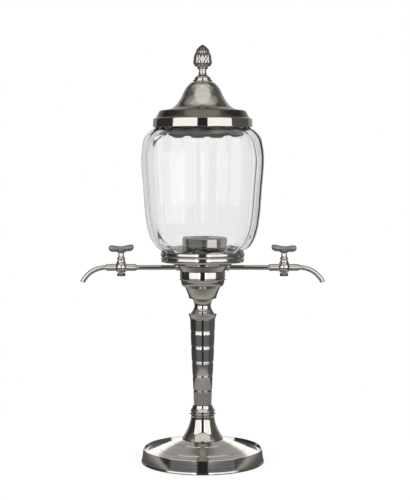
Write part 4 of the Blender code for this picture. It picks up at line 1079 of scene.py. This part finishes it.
class DressClamp(bpy.types.Operator):
    """Models what clamps the jar: rubber rings, washer, round nut and outlet tube"""

    bl_idname = "fountain.dress_clamp"
    bl_label = "Jar clamp"

    def execute(self, context):
        for name, cad_node, radius in (
            ("jar_seal_lower", "jar_gasket_lower", 44.8),
            ("jar_seal_upper", "jar_gasket_upper", 38.3),
        ):
            seal = ring(radius, STEM_BORE, 2.0, (0.4, 0.4, 0.2, 0.2))
            shape = spun(seal, BROAD, foot_of(cad_node))
            finished(name, shape, rubber(name), "stand", "gasket_rubber", cad_node)
        washer = ring(39.5, STEM_BORE, 3.0, (0.5, 0.3, 0.2, 0.2))
        plated("jar_washer", spun(washer, BROAD, foot_of("clamp_flange")), "stand", "clamp_flange")
        nut = [
            (26.2, 15.7, 0.4), (28.0, 14.2, 0.8), (28.0, 0.0, 0.4), (STEM_BORE, 0.0, 0.2),
            (STEM_BORE, 15.7, 0.6),
        ]
        plated("jar_nut", spun(nut, BROAD, foot_of("clamp_nut")), "stand", "clamp_nut")
        low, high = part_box("outlet_stem")
        height = (high.z - low.z) / MM
        thread = [(12.0 - 0.35 * (step % 2), mix(height - 0.4, 14.0, step / 28)) for step in range(29)]
        tube = [(11.4, height), *thread, (12.0, 12.0), (12.0, 0.0, 0.3), (5.0, 0.0, 0.2), (5.0, height, 0.3)]
        plated("jar_outlet", spun(tube, SLIM, low.z / MM), "stand", "outlet_stem")
        return {"FINISHED"}


class DressLid(bpy.types.Operator):
    """Models the spun lid and the ring inside it"""

    bl_idname = "fountain.dress_lid"
    bl_label = "Lid"

    def execute(self, context):
        foot = foot_of("lid_shell")
        cover = spun(lid_outline(), WIDE, foot)
        # Painted shade on the step under the ledge
        stains = [(foot + low, foot + high, shade) for low, high, shade in LID_PAINTED_SHADE]
        satin = ("height", foot + 11.0, foot + 16.0, 0.11)
        plated("lid_cover", cover, "lid", "lid_shell", lines=0.1, satin=satin, stains=stains)
        ring_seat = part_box("lid_liner")[1].z / MM - 1.2
        ring = spun(liner_outline(), WIDE, ring_seat)
        # Painted shade: the whole ring, which sits under the lid's band inside the glass, is darkened
        stains = [(ring_seat - 30.0, ring_seat + 10.0, (0.42, 0.39, 0.36))]
        plated("lid_ring", ring, "lid", "lid_liner", roughness=0.42, stains=stains)
        return {"FINISHED"}


def leaf(row_low, row_rise, turn, egg, leaves, thickness):
    """One pointed leaf that lies on the bud, rounded across, with a keel and a tip that stands clear."""
    shape = bmesh.new()
    bmesh.ops.create_grid(shape, x_segments=LEAF_GRID[0], y_segments=LEAF_GRID[1], size=1.0)
    half_turn = math.pi / leaves * LEAF_OVERLAP
    for vert in shape.verts:
        across, up = vert.co.x, (vert.co.y + 1) / 2
        width = (1 - up**2.2) ** 0.85 * (0.8 + 0.2 * math.sin(math.pi * min(1.0, up * 1.4)))
        share = row_low + row_rise * up * (1 - 0.05 * across**2)
        height = BUD_FOOT + BUD_HEIGHT * min(share, 0.999)
        radius = radius_at(egg, height)
        swell = 0.75 * (1 - across**2) + 0.35 * (1 - abs(across)) ** 2
        lift = -0.75 + swell * (1 - 0.45 * up) + 0.85 * up**1.6
        reach = radius + lift * min(1.0, radius / 5.0)
        angle = turn + across * width * half_turn
        vert.co = Vector((reach * math.cos(angle), reach * math.sin(angle), height)) * MM
    grown = bmesh.ops.extrude_face_region(shape, geom=shape.faces[:], use_keep_orig=True)["geom"]
    for item in grown:
        if isinstance(item, bmesh.types.BMVert):
            item.co.xy *= 1 - thickness / max(item.co.xy.length, 2 * thickness)
    return cleaned(shape)


class DressFinial(bpy.types.Operator):
    """Models the finial: turned foot and artichoke bud with real leaves"""

    bl_idname = "fountain.dress_finial"
    bl_label = "Finial"

    def execute(self, context):
        foot = spun(finial_base_outline(), SLIM, foot_of("finial_base"))
        plated("finial_foot", foot, "lid", "finial_base")
        sizes = context.scene.fountain_sizes
        egg = smooth(scaled(BUD_EGG, (0.0, BUD_FOOT), (BUD_RADIUS, BUD_FOOT + BUD_HEIGHT)), 6)
        core = [(radius - 0.8 * min(1.0, radius / 4.0), height) for radius, height in egg]
        outline = core + [
            *bead((6.3, BUD_FOOT), (6.3, 2.5), 0.9, 8),
            (4.9, 2.0), (4.75, 1.0), (4.9, 0.0, 0.15), (STUD_BORE, 0.0), (STUD_BORE, 12.3), (0.0, 12.3),
        ]
        whole = spun(outline, SMALL)
        turn = math.pi / sizes.leaves
        for row, (low, rise) in enumerate(BUD_ROWS):
            for index in range(sizes.leaves):
                angle = (2 * index + row % 2) * turn - math.pi / 2
                added(whole, leaf(low, rise, angle, egg, sizes.leaves, sizes.leaf_thickness))
        moved(whole, z=foot_of("finial_bud"))
        tip = foot_of("finial_bud") + BUD_TIP
        look = nickel("finial_bud", roughness=0.1, grain=0.15, stains=[(tip, tip + 20.0, (0.36, 0.35, 0.33))])
        finished("finial_artichoke", whole, look, "lid", "nickel_plate", "finial_bud")
        return {"FINISHED"}


def pin(radius, high, low):
    """A plain round cutter."""
    return spun([(0.0, high), (radius, high), (radius, low), (0.0, low)], SMALL // 2)


def both_sides(name, shape, body, cad_node, **settings):
    """Finishes a piece of the right tap, and its twin half a turn round the stem."""
    for side, degrees, reach in (("right", 0.0, TAP_REACH), ("left", 180.0, -TAP_REACH)):
        twin = turned_by(shape.copy(), degrees, "Z")
        look = nickel(f"{side}_{name}", centre=(reach, 0.0, TAP_AXIS), **settings)
        finished(f"{side}_{name}", twin, look, body.format(side), "nickel_plate", f"{side}_{cad_node}")
    shape.free()


class DressTaps(bpy.types.Operator):
    """Models both tap bodies, their keys, washers and nuts"""

    bl_idname = "fountain.dress_taps"
    bl_label = "Taps"

    def execute(self, context):
        length = 2 * SLEEVE_REACH
        sleeves = [
            (0.0, length), (3.7, length, 0.15), (SLEEVE_RADIUS, length - 1.3, 0.3), (SLEEVE_RADIUS, 1.3, 0.3),
            (3.7, 0.0, 0.15), (0.0, 0.0),
        ]
        crossing = (
            spun(sleeves, SMALL),
            spun([(0.0, 10.4), (4.3, 10.4), (3.6, -7.5), (0.0, -7.5)], SMALL),
            waterway(SLEEVE_REACH, PIPE_RADIUS, SPOUT_RADIUS),
        )
        sleeves, plug, way = (turned_by(shape, turn, "Z") for shape, turn in zip(crossing, TAP_FACET_TURNS))
        body = spun(tap_body_outline(), SMALL)
        body = combined(body, [along_x(sleeves, -SLEEVE_REACH, 0.0)], "UNION")
        body = combined(body, [plug, along_x(way, 0.0, 0.0)], "DIFFERENCE")
        both_sides("tap_casting", moved(body, x=TAP_REACH, z=TAP_AXIS), "stand", "tap_body")

        hole = along_x(pin(WATER_BORE, 10.0, 0.0), -5.0, 0.0)
        key = combined(spun(tap_key_outline(), SMALL), [hole], "DIFFERENCE")
        both_sides("tap_plug", moved(key, x=TAP_REACH, z=TAP_AXIS), "{}_key", "tap_key")

        washer = ring(5.2, TAIL_BORE, 0.8, (0.2, 0.2, 0.1, 0.1))
        washer = moved(spun(washer, SMALL, foot_of("right_tap_washer")), x=TAP_REACH)
        both_sides("tap_disc", washer, "{}_key", "tap_washer")

        nut = combined(turned_by(hexagon(9.2, 3.0), 30.0, "Z"), [pin(TAIL_BORE, 4.0, -1.0)], "DIFFERENCE")
        nut = moved(nut, x=TAP_REACH, z=foot_of("right_tap_nut"))
        stains = [(-ALL_OVER, ALL_OVER, (0.3, 0.29, 0.27))]
        both_sides("tap_hexagon", nut, "{}_key", "tap_nut", roughness=0.3, stains=stains)
        return {"FINISHED"}


class DressHandles(bpy.types.Operator):
    """Models both cast T handles"""

    bl_idname = "fountain.dress_handles"
    bl_label = "Handles"

    def execute(self, context):
        outline = smooth([(size * HANDLE_LOBE, along * HANDLE_HALF) for along, size in HANDLE_LOBES[::-1]], 6)
        outline[0], outline[-1] = (0.0, outline[0][1]), (0.0, outline[-1][1])
        bar = turned_by(spun(outline, SMALL), 90.0, "Y")
        middle = 2.2 + HANDLE_LOBE * 0.66
        for vert in bar.verts:
            along = vert.co.x / MM / HANDLE_HALF
            lift = HANDLE_DROOP * along**2 - HANDLE_HALF * along * math.tan(math.radians(HANDLE_TILT))
            vert.co.y *= HANDLE_FLATTEN
            vert.co.z += (middle + lift) * MM
        arch = quarter((4.4, 0.3), (6.4, middle), 10)
        boss = spun([(0.0, middle), *arch[::-1], (4.4, 0.0), (0.0, 0.0)], SMALL)
        body = cast([bar, boss], CAST_VOXEL, CAST_ROUNDS)
        body = combined(body, [pin(2.7, 3.0, -1.0)], "DIFFERENCE")
        body = moved(body, x=TAP_REACH, z=foot_of("right_tap_handle"))
        stains = [(-ALL_OVER, ALL_OVER, (0.52, 0.53, 0.56))]
        both_sides("tap_lever", body, "{}_key", "tap_handle", roughness=0.45, grain=0.1, stains=stains)
        return {"FINISHED"}


class DressPipes(bpy.types.Operator):
    """Models the straight feed tubes and the bent spouts"""

    bl_idname = "fountain.dress_pipes"
    bl_label = "Pipes and spouts"

    def execute(self, context):
        low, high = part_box("right_feed_tube")
        length = (high.x - low.x) / MM
        feed = ring(PIPE_RADIUS, WATER_BORE, length, (0.3, 0.3, 0.2, 0.2))
        feed = along_x(spun(feed, SMALL), low.x / MM, TAP_AXIS)
        both_sides("feed_pipe", feed, "stand", "feed_tube", axis="X")
        both_sides("outlet_pipe", moved(bent_pipe(), x=TAP_REACH, z=TAP_AXIS), "stand", "spout", axis="X")
        return {"FINISHED"}


def bent_pipe():
    """A tube that leaves level, bends down, and is cut almost level at its tip."""
    shape = bmesh.new()
    side = Matrix.Rotation(math.pi / 2, 4, "Y")
    outer, inner = (
        bmesh.ops.create_circle(shape, segments=SPOUT_SIDES, radius=radius * MM, matrix=side)["verts"]
        for radius in (SPOUT_RADIUS, SPOUT_BORE)
    )
    moved(shape, x=SLEEVE_REACH - SOCKET + GAP)
    rings = {edge for vert in outer + inner for edge in vert.link_edges}
    wall = bmesh.ops.bridge_loops(shape, edges=list(rings))["faces"]
    grown = bmesh.ops.extrude_face_region(shape, geom=wall)["geom"]
    bmesh.ops.translate(
        shape,
        verts=[item for item in grown if isinstance(item, bmesh.types.BMVert)],
        vec=((SOCKET - GAP) * MM, 0.0, 0.0),
    )
    end = [item for item in grown if isinstance(item, bmesh.types.BMFace)]
    geometry = list({part for face in end for part in (*face.verts, *face.edges)}) + end
    bmesh.ops.spin(
        shape,
        geom=geometry,
        cent=(SLEEVE_REACH * MM, 0.0, -SPOUT_BEND * MM),
        axis=(0.0, 1.0, 0.0),
        angle=math.radians(SPOUT_DEGREES + SPOUT_OVERRUN),
        steps=SPOUT_STEPS,
    )
    cleaned(shape)
    bend = math.radians(SPOUT_DEGREES)
    tip = Vector(
        (SLEEVE_REACH + SPOUT_BEND * math.sin(bend), 0.0, SPOUT_BEND * (math.cos(bend) - 1))
    )
    tilt = math.radians(SPOUT_CUT_DEGREES)
    cut = bmesh.ops.bisect_plane(
        shape,
        geom=shape.verts[:] + shape.edges[:] + shape.faces[:],
        plane_co=tip * MM,
        plane_no=(math.sin(tilt), 0.0, -math.cos(tilt)),
        clear_outer=True,
    )["geom_cut"]
    edges = [item for item in cut if isinstance(item, bmesh.types.BMEdge)]
    bmesh.ops.bridge_loops(shape, edges=edges)
    return cleaned(shape)


class DressHardware(bpy.types.Operator):
    """Gives the hidden rod, nuts, washers and stud their plain steel finish"""

    bl_idname = "fountain.dress_hardware"
    bl_label = "Hidden hardware"

    def execute(self, context):
        for name in (
            "base_washer", "base_nut", "tie_rod", "rod_top_nut", "finial_stud", "finial_washer", "finial_nut",
        ):
            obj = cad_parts[name]
            look = steel(name)
            if not obj.data.materials:
                obj.data.materials.append(look)
            for slot in obj.material_slots:
                slot.material = look
        return {"FINISHED"}


def patch_mask(tree, azimuth, elevation, middle, half, low, high, soft):
    """One inside a patch of the studio, zero outside, with soft edges, all in degrees."""
    off = math_node(tree, "PINGPONG", minus(tree, azimuth, middle), 180.0)
    beside = step_down(tree, off, half, soft)
    return times(tree, beside, between(tree, elevation, low, high, soft))


# What polished metal sees of the studio beyond the panels: the azimuth of a patch's middle from the
# camera and its half width, its lowest and highest elevation and the softness of its edges, all in
# degrees, and its colour. Later patches lie over earlier ones.
STUDIO_DARK = (0.06, 0.058, 0.055, 1.0)
STUDIO_PATCHES = (
    (0, 181, -95, -3, 1.5, (0.1, 0.105, 0.115)),
    (36, 27, -35, 6, 2.0, (0.19, 0.195, 0.21)),
    (-36, 27, -35, 6, 2.0, (0.19, 0.195, 0.21)),
    (0, 9.5, -95, 44, 1.0, (0.03, 0.03, 0.028)),
    (105, 38, -12, 50, 4.0, (0.13, 0.125, 0.12)),
    (-108, 40, -12, 38, 4.0, (0.045, 0.044, 0.042)),
    (146, 15, -8, 30, 4.0, (0.34, 0.335, 0.33)),
    (-146, 15, -8, 30, 4.0, (0.3, 0.295, 0.29)),
    (180, 30, -3, 60, 4.0, (0.5, 0.49, 0.47)),
    (-92, 34, 30, 48, 6.0, (0.14, 0.14, 0.135)),
    (-92, 36, 46, 62, 5.0, (0.38, 0.38, 0.36)),
    (84, 26, 46, 62, 5.0, (0.4, 0.39, 0.37)),
    (0, 60, 44, 66, 2.0, (1.0, 0.98, 0.91)),
    (0, 115, 60, 95, 3.0, (0.7, 0.68, 0.63)),
    (180, 65, 62, 80, 6.0, (0.25, 0.245, 0.235)),
    (0, 60, 62, 95, 5.0, (1.05, 1.03, 0.96)),
)


# What the glass sees: the middle and half width of all round, of the sides with the back, and of the
# back, and the patches where rays that it turned back see shade or a shine
CLEAR_ZONES = ((0, 200), (180, 84), (180, 55))
GLASS_SHADE = (180, 78, -80, 80, 8.0)
GLASS_SHINE = (52, 30, -12, 16, 2.0)

# The lamps: name, azimuth from the camera in degrees, distance, width, foot and top in metres, and
# which of the studio's levels sets the brightness
STUDIO_LAMPS = (
    ("panel_left", -41.0, 1.5, 1.68, 0.086, 1.44, "panel_level"),
    ("panel_right", 40.3, 1.5, 1.66, 0.086, 1.44, "panel_level"),
    ("strip_left", -15.6, 0.52, 0.06, 0.15, 0.5, "panel_level"),
    ("strip_right", 15.6, 0.52, 0.06, 0.15, 0.5, "panel_level"),
    ("card_behind", 180.0, 0.9, 0.75, 0.0, 0.48, "card_level"),
)

WHITE = (1.0, 1.0, 1.0, 1.0)

# The camera's place in metres, how far it looks down in degrees, and its sensor and lens in millimetres
CAMERA_PLACE = (0.003, -1.631, 0.379)
CAMERA_PITCH = 3.78
CAMERA_SENSOR = 36.0
CAMERA_LENS = 92.66


def grey(level):
    return (level, level, level, 1.0)


class BuildStudio(bpy.types.Operator):
    """Builds the plain floor, the soft light and the camera"""

    bl_idname = "fountain.build_studio"
    bl_label = "Studio"

    def execute(self, context):
        studio = context.scene.fountain_studio
        self.floor(context, studio)
        self.world(context, studio)
        self.lamps(context, studio)
        self.camera(context)
        context.scene.view_settings.view_transform = "Standard"
        return {"FINISHED"}

    def floor(self, context, studio):
        """A round table top that is white to the camera and pale to the metal, with painted shade round the
        base and the shadow kept.
        """
        shape = bmesh.new()
        bmesh.ops.create_circle(shape, cap_ends=True, segments=128, radius=studio.floor_radius)
        obj = linked("studio_floor", moved(shape, z=-0.05))
        material, tree, shader = new_tree("studio_floor")
        point = local_point(tree)
        shade = ranged(tree, noise(tree, point, 6.0, 3.0), 0.3, 0.7, 0.99, 1.01)
        # Painted shade: the floor's tint darkens towards the base, seen by the metal and by bounced light
        out = vector_math(tree, "LENGTH", {0: point}, "Value")
        painted_shade_near_base = ranged(tree, out, 0.1, 0.32, 0.3, 1.0, "SMOOTHSTEP")
        tint = shaded(tree, shaded(tree, context.scene.fountain_finish.floor_colour, shade), painted_shade_near_base)
        rays = node(tree, "ShaderNodeLightPath").outputs
        seen = math_node(tree, "MAXIMUM", rays["Is Camera Ray"], rays["Is Transmission Ray"])
        tree.links.new(over(tree, tint, WHITE, seen), shader.inputs["Base Color"])
        shader.inputs["Roughness"].default_value = 0.7
        shader.inputs["Specular IOR Level"].default_value = 0.0
        white = node(tree, "ShaderNodeEmission", {"Color": WHITE, "Strength": 1.0})
        share = times(tree, seen, 0.8)
        blend = node(tree, "ShaderNodeMixShader", {0: share, 1: shader.outputs[0], 2: white.outputs[0]})
        tree.links.new(blend.outputs[0], tree.nodes["Material Output"].inputs["Surface"])
        obj.data.materials.append(material)

    def world(self, context, studio):
        """Even daylight, white to the camera and straight through the glass, patched to the metal."""
        world = bpy.data.worlds.new("studio")
        context.scene.world = world
        world.use_nodes = True
        tree = world.node_tree
        tree.nodes.clear()
        parts = node(
            tree, "ShaderNodeSeparateXYZ", {0: node(tree, "ShaderNodeTexCoord").outputs["Generated"]}
        ).outputs
        away = times(tree, parts[1], -1.0)
        azimuth = math_node(tree, "DEGREES", math_node(tree, "ARCTAN2", parts[0], away))
        elevation = math_node(tree, "DEGREES", math_node(tree, "ARCSINE", parts[2]))
        seen = STUDIO_DARK
        for *patch, level in STUDIO_PATCHES:
            seen = over(tree, seen, (*level, 1.0), patch_mask(tree, azimuth, elevation, *patch))

        rays = node(tree, "ShaderNodeLightPath").outputs
        through_glass = rays["Is Transmission Ray"]
        bounced = math_node(tree, "MAXIMUM", rays["Is Glossy Ray"], through_glass)
        colour = over(tree, grey(studio.daylight), seen, bounced)
        # Rays that no surface mirrored see white, but for a soft dark zone at each side
        unmirrored = math_node(tree, "LESS_THAN", rays["Glossy Depth"], 0.5)
        straight = times(tree, through_glass, unmirrored)
        around, beside, behind = (
            patch_mask(tree, azimuth, elevation, middle, half, -60, 60, 12.0)
            for middle, half in CLEAR_ZONES
        )
        clear = minus(tree, around, minus(tree, beside, behind))
        # Rays that the glass turned back see light grey after one wall and darker grey after more
        turned = minus(tree, through_glass, straight)
        few = math_node(tree, "LESS_THAN", rays["Transmission Depth"], 2.5)
        once = times(tree, turned, few)
        inside = minus(tree, turned, once)
        away_from_camera = patch_mask(tree, azimuth, elevation, *GLASS_SHADE)
        shine = patch_mask(tree, azimuth, elevation, *GLASS_SHINE)
        for level, mask in (
            (WHITE, times(tree, straight, clear)),
            (grey(0.82), once),
            (grey(0.45), times(tree, inside, away_from_camera)),
            ((1.3, 1.28, 1.25, 1.0), times(tree, inside, shine)),
            (WHITE, rays["Is Camera Ray"]),
        ):
            colour = over(tree, colour, level, mask)
        back = node(tree, "ShaderNodeBackground", {"Color": colour, "Strength": 1.0})
        out = node(tree, "ShaderNodeOutputWorld")
        tree.links.new(back.outputs[0], out.inputs["Surface"])

    def lamps(self, context, studio):
        """Two tall panels in front, two narrow strips before them for the taps, and a low card behind."""
        for name, azimuth, distance, width, foot, top, level in STUDIO_LAMPS:
            turn = math.radians(azimuth)
            data = bpy.data.lights.new(name, "AREA")
            data.shape = "RECTANGLE"
            data.size = width
            data.size_y = top - foot
            data.energy = math.pi * width * (top - foot) * getattr(studio, level)
            lamp = bpy.data.objects.new(name, data)
            context.scene.collection.objects.link(lamp)
            lamp.location = (math.sin(turn) * distance, -math.cos(turn) * distance, (foot + top) / 2)
            lamp.rotation_euler = (math.pi / 2, 0.0, turn)
            lamp.visible_camera = False
            lamp.visible_transmission = False

    def camera(self, context):
        data = bpy.data.cameras.new("camera")
        data.sensor_width = CAMERA_SENSOR
        data.lens = CAMERA_LENS
        camera = bpy.data.objects.new("camera", data)
        context.scene.collection.objects.link(camera)
        camera.location = CAMERA_PLACE
        camera.rotation_euler = (math.radians(90.0 - CAMERA_PITCH), 0.0, 0.0)
        context.scene.camera = camera


GROUPS = {
    "fountain_sizes": FountainSizes,
    "fountain_finish": FountainFinish,
    "fountain_studio": FountainStudio,
}
OPERATORS = (
    DressBase, DressStem, DressWaterBlock, DressJar, DressClamp, DressLid, DressFinial, DressTaps,
    DressHandles, DressPipes, DressHardware, BuildStudio,
)


class FountainPanel(bpy.types.Panel):
    """Lists the pieces of the fountain and its studio"""

    bl_idname = "VIEW3D_PT_fountain"
    bl_label = "Absinthe fountain"
    bl_space_type = "VIEW_3D"
    bl_region_type = "UI"
    bl_category = "Fountain"

    def draw(self, context):
        for operator in OPERATORS:
            self.layout.operator(operator.bl_idname)


def register():
    for name, group in GROUPS.items():
        bpy.utils.register_class(group)
        setattr(bpy.types.Scene, name, PointerProperty(type=group))
    for shown in (*OPERATORS, FountainPanel):
        bpy.utils.register_class(shown)


def unregister():
    for shown in (FountainPanel, *reversed(OPERATORS)):
        bpy.utils.unregister_class(shown)
    for name, group in reversed(GROUPS.items()):
        delattr(bpy.types.Scene, name)
        bpy.utils.unregister_class(group)


def main():
    register()
    for operator in OPERATORS:
        family, action = operator.bl_idname.split(".")
        getattr(getattr(bpy.ops, family), action)()


if __name__ == "__main__":
    main()
